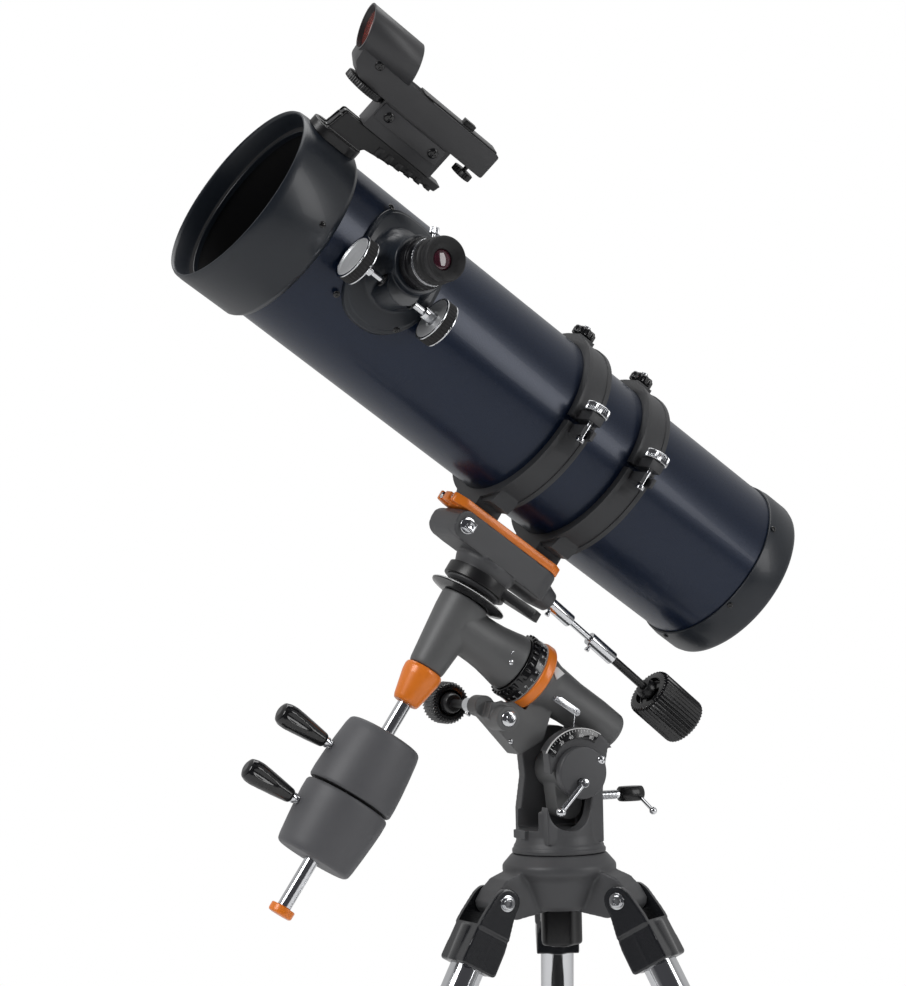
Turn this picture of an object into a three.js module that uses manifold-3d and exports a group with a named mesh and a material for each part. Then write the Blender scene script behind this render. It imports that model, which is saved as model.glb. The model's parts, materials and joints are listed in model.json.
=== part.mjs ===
// Reflector telescope on a German equatorial mount and a folding steel tripod.
// Millimetres, +Z up. The tripod stands on z = 0 and the tube points up and to the left.
import * as THREE from 'three';
import { mergeVertices } from 'three/addons/utils/BufferGeometryUtils.js';
import Module from 'manifold-3d';

const wasm = await Module();
wasm.setup();

// ---------------------------------------------------------------- driving dimensions
const GAP = 0.3; // between pieces that touch or turn on each other
const HUB_TOP = 800; // top of the tripod hub above the floor
const AZIMUTH = 24.65; // degrees the mount is turned on the tripod
const LATITUDE = 33.74; // degrees the polar axis is raised
const HOUR_ANGLE = 2.07; // degrees the T-shaped body is turned about the polar axis
const TUBE_TURN = 5.72; // degrees the tube is turned about the declination axis

const PIVOT_X = 6; // latitude pivot in the azimuth frame
const PIVOT_Z = 77;
const POLAR_OFFSET = 54.5; // polar axis above the latitude pivot
const CROSSING = 168.4; // declination axis beyond the latitude pivot, along the polar axis
const TUBE_AXIS = 196.1; // tube axis above the polar axis, along the declination axis

const TUBE_R = 82;
const TUBE_WALL = 1.2;
const TUBE_FRONT = 372;
const TUBE_REAR = -203;
const CELL_FRONT = 396.4;
const REAR_END = -236;
const RING_X = [36, -41]; // tube ring centres along the tube
const RING_WIDTH = 28;
const RING_OUTER = 91;
const SCREW_Y = 103; // ring clamp screws beside the tube axis
const FOCUSER_X = 262;
const FOCUSER_ANGLE = 82.5; // degrees round the tube from its top
const FINDER_ANGLE = 28;

const SADDLE_BOTTOM = 88.3; // along the declination axis
const SADDLE_TOP = 97;
const BAR_R = 6.5;
const BAR_END = -300;

const LEG_COUNT = 3;
const FIRST_LEG = 90; // degrees, the rear leg
const LEG_TILT = 28.4; // degrees from upright
const LEG_PIVOT_R = 70;
const LEG_PIVOT_DROP = 41;
const LEG_R = 15.9;
const LOWER_LEG_R = 12.7;
const LEG_SOCKET = 66; // pivot to the lower edge of the bracket
const LEG_CLAMP = 770; // pivot to the middle of the leg clamp
const BRACE_DROP = 400; // pivot to the brace collar, along the leg
const BRACE_INSET = 26; // leg centre line to the brace arm's pivot
const BRACE_TILT = 30; // degrees the brace arms rise towards the middle
const BRACE_HUB_R = 45; // brace arms' inner pivots from the middle of the tripod

// ---------------------------------------------------------------- materials
const paint = (color, roughness, metalness) =>
  new THREE.MeshStandardMaterial({ color, roughness, metalness });
const FINISH = {
  tube: () => paint(0x0d1626, 0.22, 0.35),
  cell: () => paint(0x2a303a, 0.42, 0),
  mount: () => paint(0x46474a, 0.5, 0.15),
  orange: () => paint(0xe0661c, 0.35, 0.3),
  chrome: () => paint(0xc9cccf, 0.12, 1),
  black: () => paint(0x121314, 0.35, 0),
  rubber: () => paint(0x1a1a1b, 0.8, 0),
  mirror: () => paint(0xe6eaee, 0.03, 1),
  glass: () => paint(0x8a1420, 0.05, 0),
};

// ---------------------------------------------------------------- solids
const rad = THREE.MathUtils.degToRad;
const X = new THREE.Vector3(1, 0, 0);
const Y = new THREE.Vector3(0, 1, 0);
const Z = new THREE.Vector3(0, 0, 1);

/** The geometry indexed, without triangles that have lost a corner, and facing outward. */
function tidy(geometry) {
  const bare = geometry.clone();
  for (const name of ['normal', 'uv']) bare.deleteAttribute(name);
  const merged = mergeVertices(bare, 1e-4);
  const at = (i) => new THREE.Vector3().fromBufferAttribute(merged.attributes.position, i);
  const corners = merged.index.array;
  const kept = [];
  let volume = 0;
  for (let i = 0; i < corners.length; i += 3) {
    const [a, b, c] = [corners[i], corners[i + 1], corners[i + 2]];
    if (a === b || b === c || c === a) continue;
    kept.push([a, b, c]);
    volume += at(a).dot(at(b).cross(at(c)));
  }
  if (volume < 0) kept.forEach((triangle) => triangle.reverse());
  merged.setIndex(kept.flat());
  return merged;
}

function toManifold(geometry) {
  const clean = tidy(geometry);
  return new wasm.Manifold(
    new wasm.Mesh({
      numProp: 3,
      vertProperties: Float32Array.from(clean.attributes.position.array),
      triVerts: Uint32Array.from(clean.index.array),
    }),
  );
}

function toGeometry(manifold) {
  const mesh = manifold.getMesh();
  const geometry = new THREE.BufferGeometry();
  geometry.setAttribute('position', new THREE.BufferAttribute(mesh.vertProperties, 3));
  geometry.setIndex(new THREE.BufferAttribute(mesh.triVerts, 1));
  return geometry;
}

const combine = (method) => (first, ...others) =>
  toGeometry(others.reduce((body, next) => body[method](toManifold(next)), toManifold(first)));
const fuse = combine('add');
const cut = combine('subtract');
const keep = combine('intersect');

const moved = (geometry, x, y, z) => geometry.clone().translate(x, y, z);

/** A solid turned about an axis from [radius, height] points; a closed outline makes a ring. */
function turned(points, axis = Z, segments = 20) {
  const outline = points.map(([r, h]) => new THREE.Vector2(r, h));
  const [first, last] = [outline[0], outline[outline.length - 1]];
  const onAxis = first.x === 0 && last.x === 0;
  if (!onAxis) outline.push(first.clone());
  const solid = new THREE.LatheGeometry(outline, segments);
  const turn = new THREE.Quaternion().setFromUnitVectors(Y, axis);
  return solid.applyQuaternion(turn);
}

const disc = (r, low, high, axis = Z, segments = 20) =>
  turned([[0, low], [r, low], [r, high], [0, high]], axis, segments);

const ring = (inner, outer, low, high, axis = Z, segments = 24) =>
  turned([[inner, low], [outer, low], [outer, high], [inner, high]], axis, segments);

/** A round rod between two points. */
function rod(r, from, to, segments = 12) {
  const [a, b] = [new THREE.Vector3(...from), new THREE.Vector3(...to)];
  const along = b.clone().sub(a);
  const solid = new THREE.CylinderGeometry(r, r, along.length(), segments);
  solid.applyQuaternion(new THREE.Quaternion().setFromUnitVectors(Y, along.clone().normalize()));
  return moved(solid, ...a.add(b).multiplyScalar(0.5).toArray());
}

function ball(r, x, y, z, segments = 12) {
  return moved(new THREE.SphereGeometry(r, segments, segments / 2), x, y, z);
}

/** A box from its lowest and highest corners. */
function block([x0, y0, z0], [x1, y1, z1]) {
  const solid = new THREE.BoxGeometry(x1 - x0, y1 - y0, z1 - z0);
  return moved(solid, (x0 + x1) / 2, (y0 + y1) / 2, (z0 + z1) / 2);
}

/** Where a shape's own axes go when it is drawn in each plane and carried along the third axis. */
const PLANES = {
  xy: new THREE.Matrix4(),
  yz: new THREE.Matrix4().makeBasis(Y, Z, X),
  xz: new THREE.Matrix4().makeBasis(X, Z, Y.clone().negate()),
};
function slab(shape, plane, low, high, curveSegments = 7) {
  const solid = new THREE.ExtrudeGeometry(shape, {
    depth: high - low,
    bevelEnabled: false,
    curveSegments,
  });
  solid.translate(0, 0, plane === 'xz' ? -high : low);
  return solid.applyMatrix4(PLANES[plane]);
}

const polygon = (points) => new THREE.Shape(points.map(([a, b]) => new THREE.Vector2(a, b)));

/** The outline of two circles and the straight sides that touch both. */
function link([ax, ay], ra, [bx, by], rb) {
  const shape = new THREE.Shape();
  const direction = Math.atan2(by - ay, bx - ax);
  const lean = Math.acos((ra - rb) / Math.hypot(bx - ax, by - ay));
  shape.absarc(ax, ay, ra, direction + lean, direction - lean + 2 * Math.PI, false);
  shape.absarc(bx, by, rb, direction - lean, direction + lean, false);
  shape.closePath();
  return shape;
}

/** A knob's outline with rounded ribs round its edge. */
function ribbed(r, ribs, depth) {
  const points = [];
  const steps = ribs * 2;
  for (let i = 0; i < steps; i += 1) {
    const angle = (2 * Math.PI * i) / steps;
    const reach = r - (depth * (1 - Math.cos(ribs * angle))) / 2;
    points.push([reach * Math.cos(angle), reach * Math.sin(angle)]);
  }
  return polygon(points);
}

function add(parent, name, geometry, material) {
  const mesh = new THREE.Mesh(tidy(geometry), material);
  mesh.name = name;
  parent.add(mesh);
  return mesh;
}

function frame(parent, name, position = [0, 0, 0]) {
  const group = new THREE.Group();
  group.name = name;
  group.position.set(...position);
  parent.add(group);
  return group;
}

// ---------------------------------------------------------------- tripod
function tripodHub(parent) {
  const crown = turned([
    [0, -52], [34, -52], [38, -48], [47, -22], [53, -16], [53, -11], [46, -3], [43.6, -GAP],
    [0, -GAP],
  ], Z, 26);
  const arms = [];
  const bores = [];
  for (let i = 0; i < LEG_COUNT; i += 1) {
    const turn = rad(FIRST_LEG + 120 * i);
    const arm = slab(polygon([
      [20, -14], [58, -17], [72, -28], [83, -41], [78, -52], [68, -55], [56, -58], [20, -52],
    ]), 'xz', -16.2, 16.2);
    arms.push(arm.rotateZ(turn));
    const bore = rod(4, [LEG_PIVOT_R, -25, -LEG_PIVOT_DROP], [LEG_PIVOT_R, 25, -LEG_PIVOT_DROP]);
    bores.push(bore.rotateZ(turn));
  }
  const arch = turned([[0, -60], [30, -60], [27, -44], [0, -40]], Z, 18);
  add(parent, 'tripod_hub', cut(fuse(crown, ...arms), arch, ...bores), FINISH.mount());
}

function hubKnob(parent) {
  const shaft = disc(5, -50, -42, Z, 12);
  const grip = slab(ribbed(20, 7, 4), 'xy', -86, -46.5);
  add(parent, 'hub_lock_knob', fuse(grip, shaft), FINISH.black());
}

/** One leg: +Z runs up the leg and +X points outward from the tripod. */
function leg(parent, number) {
  const turn = FIRST_LEG + 120 * (number - 1);
  const spoke = frame(parent, `leg_${number}_spoke`, [0, 0, 0]);
  spoke.rotation.z = rad(turn);
  const pivot = frame(spoke, `leg_${number}_pivot`, [LEG_PIVOT_R, 0, -LEG_PIVOT_DROP]);
  pivot.rotation.y = -rad(LEG_TILT);

  const side = polygon([
    [-13, 4], [-9, 11], [0, 14], [10, 13], [39, 5], [31, -22], [19.5, -LEG_SOCKET],
    [-19.5, -LEG_SOCKET], [-19, -38], [-13, -8],
  ]);
  const shell = slab(side, 'xz', -22, 22);
  const corners = [-22, 22].map((y) => block([-40, y - 4, -LEG_SOCKET - 5], [45, y + 4, -30]));
  const slot = block([-40, -16.8, -28], [32, 16.8, 40]);
  const bore = disc(LEG_R + GAP, -LEG_SOCKET - 1, -29, Z, 18);
  const bolt = fuse(
    rod(3.2, [0, -26, 0], [0, 26, 0]),
    rod(6.2, [0, -26, 0], [0, -22, 0], 6),
    rod(6.2, [0, 22, 0], [0, 26, 0], 6),
  );
  const socket = cut(fuse(cut(shell, ...corners), disc(20.5, -LEG_SOCKET, -30, Z, 18)), slot, bore);
  add(pivot, `leg_bracket_${number}`, fuse(socket, bolt), FINISH.black());

  const tube = ring(LEG_R - 1.3, LEG_R, -LEG_CLAMP - 14, -29.5, Z, 18);
  const collar = ring(LEG_R - 0.4, 21, -LEG_CLAMP - 14, -LEG_CLAMP + 20, Z, 18);
  const guide = ring(LOWER_LEG_R + GAP, 21, -LEG_CLAMP - 20, -LEG_CLAMP - 13.5, Z, 18);
  const lug = rod(9, [0, 0, -LEG_CLAMP], [0, -27, -LEG_CLAMP]);
  const lugBore = disc(LEG_R - 1, -LEG_CLAMP - 20, -LEG_CLAMP + 20, Z, 18);
  const screwHole = rod(4.3, [0, -40, -LEG_CLAMP], [0, 0, -LEG_CLAMP]);
  const braceCollar = ring(LEG_R - 0.4, 20, -BRACE_DROP - 12, -BRACE_DROP + 12, Z, 18);
  const braceLug = [-1, 1].map((s) => block(
    [-32, s * 6.5 - 2.5, -BRACE_DROP - 7], [-17, s * 6.5 + 2.5, -BRACE_DROP + 7],
  ));
  const upper = fuse(tube, collar, guide, cut(lug, lugBore), braceCollar, ...braceLug);
  add(pivot, `leg_tube_${number}`, cut(upper, screwHole), FINISH.chrome());

  const clampKnob = fuse(
    rod(3.8, [0, -14, -LEG_CLAMP], [0, -30, -LEG_CLAMP]),
    slab(ribbed(15, 6, 3), 'xz', -46, -28).translate(0, 0, -LEG_CLAMP),
  );
  add(pivot, `leg_clamp_knob_${number}`, clampKnob, FINISH.black());

  const reach = (HUB_TOP - LEG_PIVOT_DROP) / Math.cos(rad(LEG_TILT));
  add(pivot, `lower_leg_${number}`,
    ring(LOWER_LEG_R - 1.2, LOWER_LEG_R, -reach + 22, -130, Z, 16), FINISH.chrome());

  const floor = block([-80, -80, -60], [80, 80, 0]);
  floor.applyMatrix4(new THREE.Matrix4().makeRotationY(rad(LEG_TILT)));
  floor.translate(0, 0, -reach);
  const boot = turned([
    [0, -reach - 20], [13, -reach - 18], [18.5, -reach - 2], [18.5, -reach + 8], [16, -reach + 26],
    [16, -reach + 44], [LOWER_LEG_R + GAP, -reach + 44], [LOWER_LEG_R + GAP, -reach + 22 - GAP],
    [0, -reach + 22 - GAP],
  ], Z, 16);
  add(pivot, `leg_foot_${number}`, cut(boot, floor), FINISH.rubber());

  const hinge = frame(pivot, `brace_${number}_hinge`, [-BRACE_INSET, 0, -BRACE_DROP]);
  hinge.rotation.y = rad(LEG_TILT + BRACE_TILT);
  const strip = slab(link([0, 0], 5.5, [-braceArmLength(), 0], 5.5), 'xz', -3.6, 3.6, 4);
  add(hinge, `brace_arm_${number}`, strip, FINISH.black());
}

/** Where a brace arm meets its leg, from the top of the hub: [distance from the middle, height]. */
function braceOuterPivot() {
  const [across, down] = [Math.cos(rad(LEG_TILT)), Math.sin(rad(LEG_TILT))];
  return [
    LEG_PIVOT_R + BRACE_DROP * down - BRACE_INSET * across,
    -LEG_PIVOT_DROP - BRACE_DROP * across - BRACE_INSET * down,
  ];
}

function braceArmLength() {
  return (braceOuterPivot()[0] - BRACE_HUB_R) / Math.cos(rad(BRACE_TILT));
}

/** The tray and the brace's hub, which rise together when the legs fold. */
function brace(parent) {
  const height = braceOuterPivot()[1] + braceArmLength() * Math.sin(rad(BRACE_TILT));
  const middle = frame(parent, 'brace_middle', [0, 0, height]);
  const outline = (radius) => {
    const shape = new THREE.Shape();
    const cornerAt = 99;
    for (let i = 0; i < LEG_COUNT; i += 1) {
      const angle = rad(FIRST_LEG + 60 + 120 * i);
      shape.absarc(cornerAt * Math.cos(angle), cornerAt * Math.sin(angle), radius,
        angle - Math.PI / 3, angle + Math.PI / 3, false);
    }
    shape.closePath();
    return shape;
  };
  const plate = slab(outline(19), 'xy', 24, 28, 4);
  const wall = cut(slab(outline(19), 'xy', 27, 36, 4), slab(outline(15.5), 'xy', 20, 40, 4));
  const post = disc(13, -9, 25, Z, 12);
  const cheeks = [];
  for (let i = 0; i < LEG_COUNT; i += 1) {
    for (const side of [-1, 1]) {
      const low = side > 0 ? 4.4 : -7.4;
      const cheek = slab(polygon([[8, -9], [48, -8], [53, 0], [48, 8], [8, 14]]), 'xz', low, low + 3);
      cheeks.push(cheek.rotateZ(rad(FIRST_LEG + 120 * i)));
    }
  }
  add(middle, 'accessory_tray', fuse(plate, wall, post, ...cheeks), FINISH.black());
}

// ---------------------------------------------------------------- azimuth base and latitude lock
function azimuthBase(parent) {
  const foot = turned([
    [0, 0], [43.6, 0], [43.6, 4], [42, 5], [42, 6.5], [40.5, 8], [38.5, 16], [38, 40], [0, 40],
  ], Z, 26);
  const cheek = polygon([
    [-28, 10], [-28, 41], [-23.5, 70], [-26, 96], [36, 96], [31, 70], [30, 54], [30, 10],
  ]);
  const trunk = slab(cheek, 'xz', -34, 34);
  const top = disc(39, -34, 34, Y, 26).translate(PIVOT_X, 0, PIVOT_Z);
  const lobe = disc(27, -34, 34, Y, 22).translate(PIVOT_X, 0, PIVOT_Z);
  const above = block([-60, -40, 96], [60, 40, 140]);
  const wall = keep(disc(38, 0, 58, Z, 26), block([24, -34, 0], [60, 34, 58]));
  const tab = block([-41, -12, 14], [-26, 12, 41]);
  const boss = disc(24.5, -42, -33, Y, 22).translate(PIVOT_X, 0, PIVOT_Z - 2);
  const scale = keep(top, above);
  const slot = fuse(block([-60, -21, 22], [29, 21, 160]), block([0, -21, 58], [60, 21, 160]));
  const shaftBore = disc(6.4, -45, 36, Y, 16).translate(PIVOT_X, 0, PIVOT_Z);
  const window = slab(link([-3, 42], 19, [-3, 56], 22), 'xz', -45, -20);
  const bolt = rod(4.4, [20, 0, 49.5], [60, 0, 49.5], 14);
  const lock = rod(4.4, [PIVOT_X - 2.5, -50, PIVOT_Z - 11], [PIVOT_X - 2.5, -30, PIVOT_Z - 11]);
  const open = cut(fuse(foot, trunk, lobe, scale, wall, tab), slot, window);
  const body = fuse(open, boss);
  add(parent, 'azimuth_base', cut(body, shaftBore, bolt, lock), FINISH.mount());
}

function latitudeLock(parent) {
  const hinge = frame(parent, 'latitude_lever_hinge', [PIVOT_X - 2.5, 0, PIVOT_Z - 11]);
  const lever = fuse(
    rod(4, [0, -40, 0], [0, -50, 0], 14),
    rod(2.7, [0, -46.5, 0], [-25, -49, -25]),
    ball(4.6, -25, -49, -25),
  );
  add(hinge, 'latitude_lock_lever', lever, FINISH.chrome());
}

function latitudeAdjuster(parent) {
  const axis = frame(parent, 'latitude_adjuster_axis', [0, 0, 49.5]);
  const bolt = rod(4, [31, 0, 0], [70, 0, 0], 14);
  const grip = turned([[0, 64], [6, 64], [9, 69], [9.5, 80], [7.5, 88], [0, 90]], X, 12);
  const bar = rod(1.8, [80, 0, 9], [80, 0, -26]);
  const tip = ball(3.6, 80, 0, -27);
  add(axis, 'latitude_adjuster', fuse(bolt, grip, bar, tip), FINISH.chrome());
}

// ---------------------------------------------------------------- polar housing
/** Modelled where the two axes cross: +Z up the polar axis, +X at right angles, upward. */
function polarHousing(cross) {
  const barrel = turned([
    [0, -196], [15.5, -196], [18, -193], [20, -170], [21, -140], [24, -113], [27, -104],
    [27, -100 - GAP], [0, -100 - GAP],
  ], Z, 22);
  const pivot = [-POLAR_OFFSET, -CROSSING];
  const down = [-Math.cos(rad(LATITUDE)), -Math.sin(rad(LATITUDE))];
  const tail = [pivot[0] + 34 * down[0], pivot[1] + 34 * down[1]];
  const neck = slab(link([-8, -168], 14, pivot, 17), 'xz', -12, 12);
  const heel = slab(link(pivot, 17, tail, 13), 'xz', -12, 12);
  const drum = disc(20, -20.5, 20.5, Y, 18).translate(pivot[0], 0, pivot[1]);
  const pin = disc(6, -38, 38, Y, 16).translate(pivot[0], 0, pivot[1]);
  const rib = slab(polygon([
    [-14, -102], [-14, -124], [-46, -132], [-70, -118], [-58, -72], [-44, -68], [-36, -82],
  ]), 'xz', -12, 14);
  const nearLobe = disc(11.5, -27, 2, Y, 16).translate(-51, 0, -84);
  const farLobe = disc(10, 0, 19, Y, 16).translate(-48, 0, -69);
  const ringRoom = disc(34, -101, -60, Z, 26);
  const shaftRoom = disc(10, -188, -90, Z, 16);
  const wormRoom = rod(4.4, [-48, 3, -69], [-48, 30, -69], 14);
  const casting = cut(fuse(rib, nearLobe, farLobe), ringRoom);
  const body = fuse(barrel, neck, heel, drum, pin, casting);
  add(cross, 'polar_housing', cut(body, shaftRoom, wormRoom), FINISH.mount());
}

/** A slow-motion control along +Z: chrome couplings, a dark shaft and a ribbed knob. */
function slowMotion(parent, name, couplings, knobStart, knobEnd, knobR) {
  const pieces = [disc(4, 0, knobStart + 4, Z, 12)];
  for (const [low, high] of couplings) pieces.push(disc(6.5, low, high, Z, 12));
  pieces.push(turned([
    [0, knobStart - 8], [9, knobStart - 8], [11, knobStart], [0, knobStart + 2],
  ], Z, 16));
  pieces.push(slab(ribbed(knobR, 18, 1.6), 'xy', knobStart, knobEnd));
  add(parent, name, fuse(...pieces), FINISH.black());
}

// ---------------------------------------------------------------- right ascension body
/** Modelled where the axes cross: +X up the declination axis, +Z up the polar axis. */
function raBody(ra) {
  const decBarrel = turned([
    [0, -50.3], [16.6, -50.3], [17.4, -48], [20, -20], [22.8, 8], [23.4, 23], [0, 23],
  ], X, 22);
  const raBarrel = turned([
    [0, -71.7], [28, -71.7], [27.4, -66], [24.4, -50], [22.9, -38], [22.9, -4], [0, 4],
  ], Z, 22);
  const raShaft = disc(9.6, -185, -70, Z, 16);
  const decRoom = rod(8.4, [-40, 0, 0], [30, 0, 0], 16);
  add(ra, 'ra_body', fuse(cut(fuse(decBarrel, raBarrel), decRoom), raShaft), FINISH.mount());

  add(ra, 'ra_setting_circle', turned([
    [10, -88.7], [31.8, -88.7], [31.8, -80], [29.5, -72], [10, -72],
  ], Z, 26), FINISH.black());
  add(ra, 'ra_clutch_ring', turned([
    [10, -100], [31, -100], [33.6, -97], [33.6, -91], [32.4, -89], [10, -89],
  ], Z, 26), FINISH.orange());
}

function counterweightBar(ra) {
  add(ra, 'bar_cone_nut', turned([
    [BAR_R + GAP, -87], [12, -87], [13.5, -84], [18.4, -58], [18.6, -53], [17.4, -50.6],
    [BAR_R + GAP, -50.6],
  ], X, 22), FINISH.orange());
  add(ra, 'counterweight_bar', disc(BAR_R, BAR_END, -50.6, X, 16), FINISH.chrome());
  add(ra, 'bar_end_stop', turned([
    [0, -308.5], [10.6, -308.5], [11.6, -307.5], [11.6, BAR_END - GAP], [0, BAR_END - GAP],
  ], X, 16), FINISH.orange());

  const profiles = {
    upper: [
      [BAR_R + 0.5, -186.4], [40.5, -186.4], [41.6, -184.5], [41.4, -172], [39.6, -150],
      [36.8, -126], [34, -121.5], [BAR_R + 0.5, -121.5],
    ],
    lower: [
      [BAR_R + 0.5, -252], [34.2, -252], [36.8, -247.5], [39.6, -222], [41.4, -202],
      [41.6, -191], [40.4, -188.8], [BAR_R + 0.5, -188.8],
    ],
  };
  const knobAt = { upper: -156, lower: -214 };
  for (const [place, profile] of Object.entries(profiles)) {
    const x = knobAt[place];
    const weight = cut(turned(profile, X, 26), rod(3.6, [x, 0, 0], [x, 0, 60]));
    add(ra, `${place}_counterweight`, weight, FINISH.mount());
    const axis = frame(ra, `${place}_knob_axis`, [x, 0, 0]);
    const stud = disc(3.2, BAR_R + 1, 52, Z, 12);
    const grip = turned([
      [0, 48], [6, 48], [6.6, 52], [9.4, 70], [11.6, 84], [11.4, 92], [8, 98], [0, 100],
    ], Z, 12);
    add(axis, `${place}_weight_knob`, fuse(stud, grip), FINISH.black());
  }
}

// ---------------------------------------------------------------- declination head
/** +X along the tube, +Z up the declination axis, from where the axes cross. */
function declinationHead(dec) {
  add(dec, 'dec_setting_circle', turned([
    [0, -38], [8, -38], [8, 23.4], [28, 23.4], [37.4, 26.4], [37.4, 28], [33, 29.2], [14, 30.5],
    [14, 33], [0, 33],
  ], Z, 26), FINISH.black());

  const hub = turned([
    [0, 33.3], [24, 33.3], [27, 36], [27, 50], [30, 58], [30, 62], [0, 62],
  ], Z, 22);
  const oval = link([38, 0], 25, [-44, 0], 22);
  const casting = slab(oval, 'xy', 60, 88);
  const frontBoss = disc(13.5, -25, 25, Y, 18).translate(50, 0, 75);
  const trim = block([-80, -30, 50], [90, 30, SADDLE_BOTTOM - GAP]);
  const nose = turned([[0, 30], [17, 30], [14.5, 58], [10, 76], [0, 76]], Z, 16);
  const noseAxis = new THREE.Matrix4().makeRotationY(rad(-90 - 4.5));
  nose.applyMatrix4(noseAxis).translate(0, 0, 75);
  const noseRoom = disc(4.4, 60, 80, Z, 12).applyMatrix4(noseAxis).translate(0, 0, 75);
  const boltHead = fuse(
    rod(7.6, [50, 24, 75], [50, 28, 75], 16),
    block([45.5, 27, 70.5], [54.5, 34, 79.5]),
  );
  const body = fuse(hub, keep(fuse(casting, frontBoss, nose), trim), boltHead);
  add(dec, 'declination_head', cut(body, noseRoom), FINISH.mount());

  const plate = slab(polygon([
    [72, -16], [72, 16], [60, 21], [-52, 21], [-62, 14], [-62, -14], [-52, -21], [60, -21],
  ]), 'xy', SADDLE_BOTTOM, SADDLE_TOP);
  const notches = [-8, 8].map((y) => block([62, y - 3, 80], [80, y + 3, 100]));
  add(dec, 'saddle_plate', cut(plate, ...notches), FINISH.orange());

  const clamp = ring(27 + GAP, 31, 37.5, 49, Z, 22);
  const wing = slab(polygon([
    [-8, 26], [-52, 33], [-60, 30], [-60, 25], [-24, 14],
  ]), 'xy', 39.5, 48.5);
  const room = disc(27 + GAP, 30, 60, Z, 22);
  add(dec, 'dec_lock_lever', fuse(clamp, cut(wing, room)), FINISH.black());

  const axis = frame(dec, 'dec_slow_axis', [0, 0, 75]);
  axis.quaternion.setFromRotationMatrix(noseAxis);
  const start = frame(axis, 'dec_slow_start', [0, 0, 61]);
  slowMotion(start, 'dec_slow_motion_knob', [[16, 45], [72, 105]], 157, 211, 24);
}

// ---------------------------------------------------------------- tube rings
/** Half a ring from one angle to another, angles in degrees from +Y towards +Z. */
function halfRing(inner, outer, from, to) {
  const shape = new THREE.Shape();
  shape.absarc(0, 0, outer, rad(from), rad(to), false);
  shape.absarc(0, 0, inner, rad(to), rad(from), true);
  shape.closePath();
  return slab(shape, 'yz', -RING_WIDTH / 2, RING_WIDTH / 2, 18);
}

function tubeRing(tube, place, x) {
  const seat = frame(tube, `${place}_ring`, [x, 0, 0]);
  const inner = TUBE_R + GAP;
  const hingeY = -97;
  const half = RING_WIDTH / 2;
  const footTop = -RING_OUTER + 3;
  const foot = block([-half, -16, SADDLE_TOP + GAP - TUBE_AXIS], [half, 16, footTop]);
  const lowerEar = block([-7, 86, -12], [7, 111, -3]);
  const slot = block([-3.4, SCREW_Y - 3.6, -20], [3.4, 120, 0]);
  const outerKnuckles = [-1, 1].map((s) => fuse(
    disc(5.5, s > 0 ? 5 : -half, s > 0 ? half : -5, X, 12).translate(0, hingeY, 0),
    block([s > 0 ? 5 : -half, hingeY, -9], [s > 0 ? half : -5, -86, -0.8]),
  ));
  const pin = disc(1.9, -half, half, X, 12).translate(0, hingeY, 0);
  const lower = cut(
    fuse(halfRing(inner - 1, RING_OUTER, 182, 358), foot, lowerEar, ...outerKnuckles, pin),
    slot,
    disc(inner, -60, 60, X, 36),
  );
  add(seat, `${place}_ring_lower`, lower, FINISH.mount());

  const hinge = frame(seat, `${place}_ring_hinge`, [0, hingeY, 0]);
  const upperEar = block([-7, 86, 3], [7, 111, 12]);
  const earBore = rod(2.9, [0, SCREW_Y, -5], [0, SCREW_Y, 30]);
  const middleKnuckle = cut(
    fuse(
      disc(5.5, -4.7, 4.7, X, 12).translate(0, hingeY, 0),
      block([-4.7, hingeY, 0.8], [4.7, -86, 9]),
    ),
    disc(2.2, -6, 6, X, 12).translate(0, hingeY, 0),
  );
  const pad = block([-9, -12, RING_OUTER - 3], [9, 12, RING_OUTER + 3]);
  const upper = cut(
    fuse(halfRing(inner - 1, RING_OUTER, 2, 178), upperEar, middleKnuckle, pad),
    earBore,
    disc(inner, -60, 60, X, 36),
  );
  add(hinge, `${place}_ring_upper`, moved(upper, 0, -hingeY, 0), FINISH.mount());

  const screw = frame(hinge, `${place}_ring_screw`, [0, SCREW_Y - hingeY, 0]);
  const stud = disc(2.5, -17, 14, Z, 12);
  const knob = slab(ribbed(11.5, 12, 1), 'xy', 12 + GAP, 22);
  add(screw, `${place}_ring_knob`, fuse(stud, knob), FINISH.chrome());
}

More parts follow.
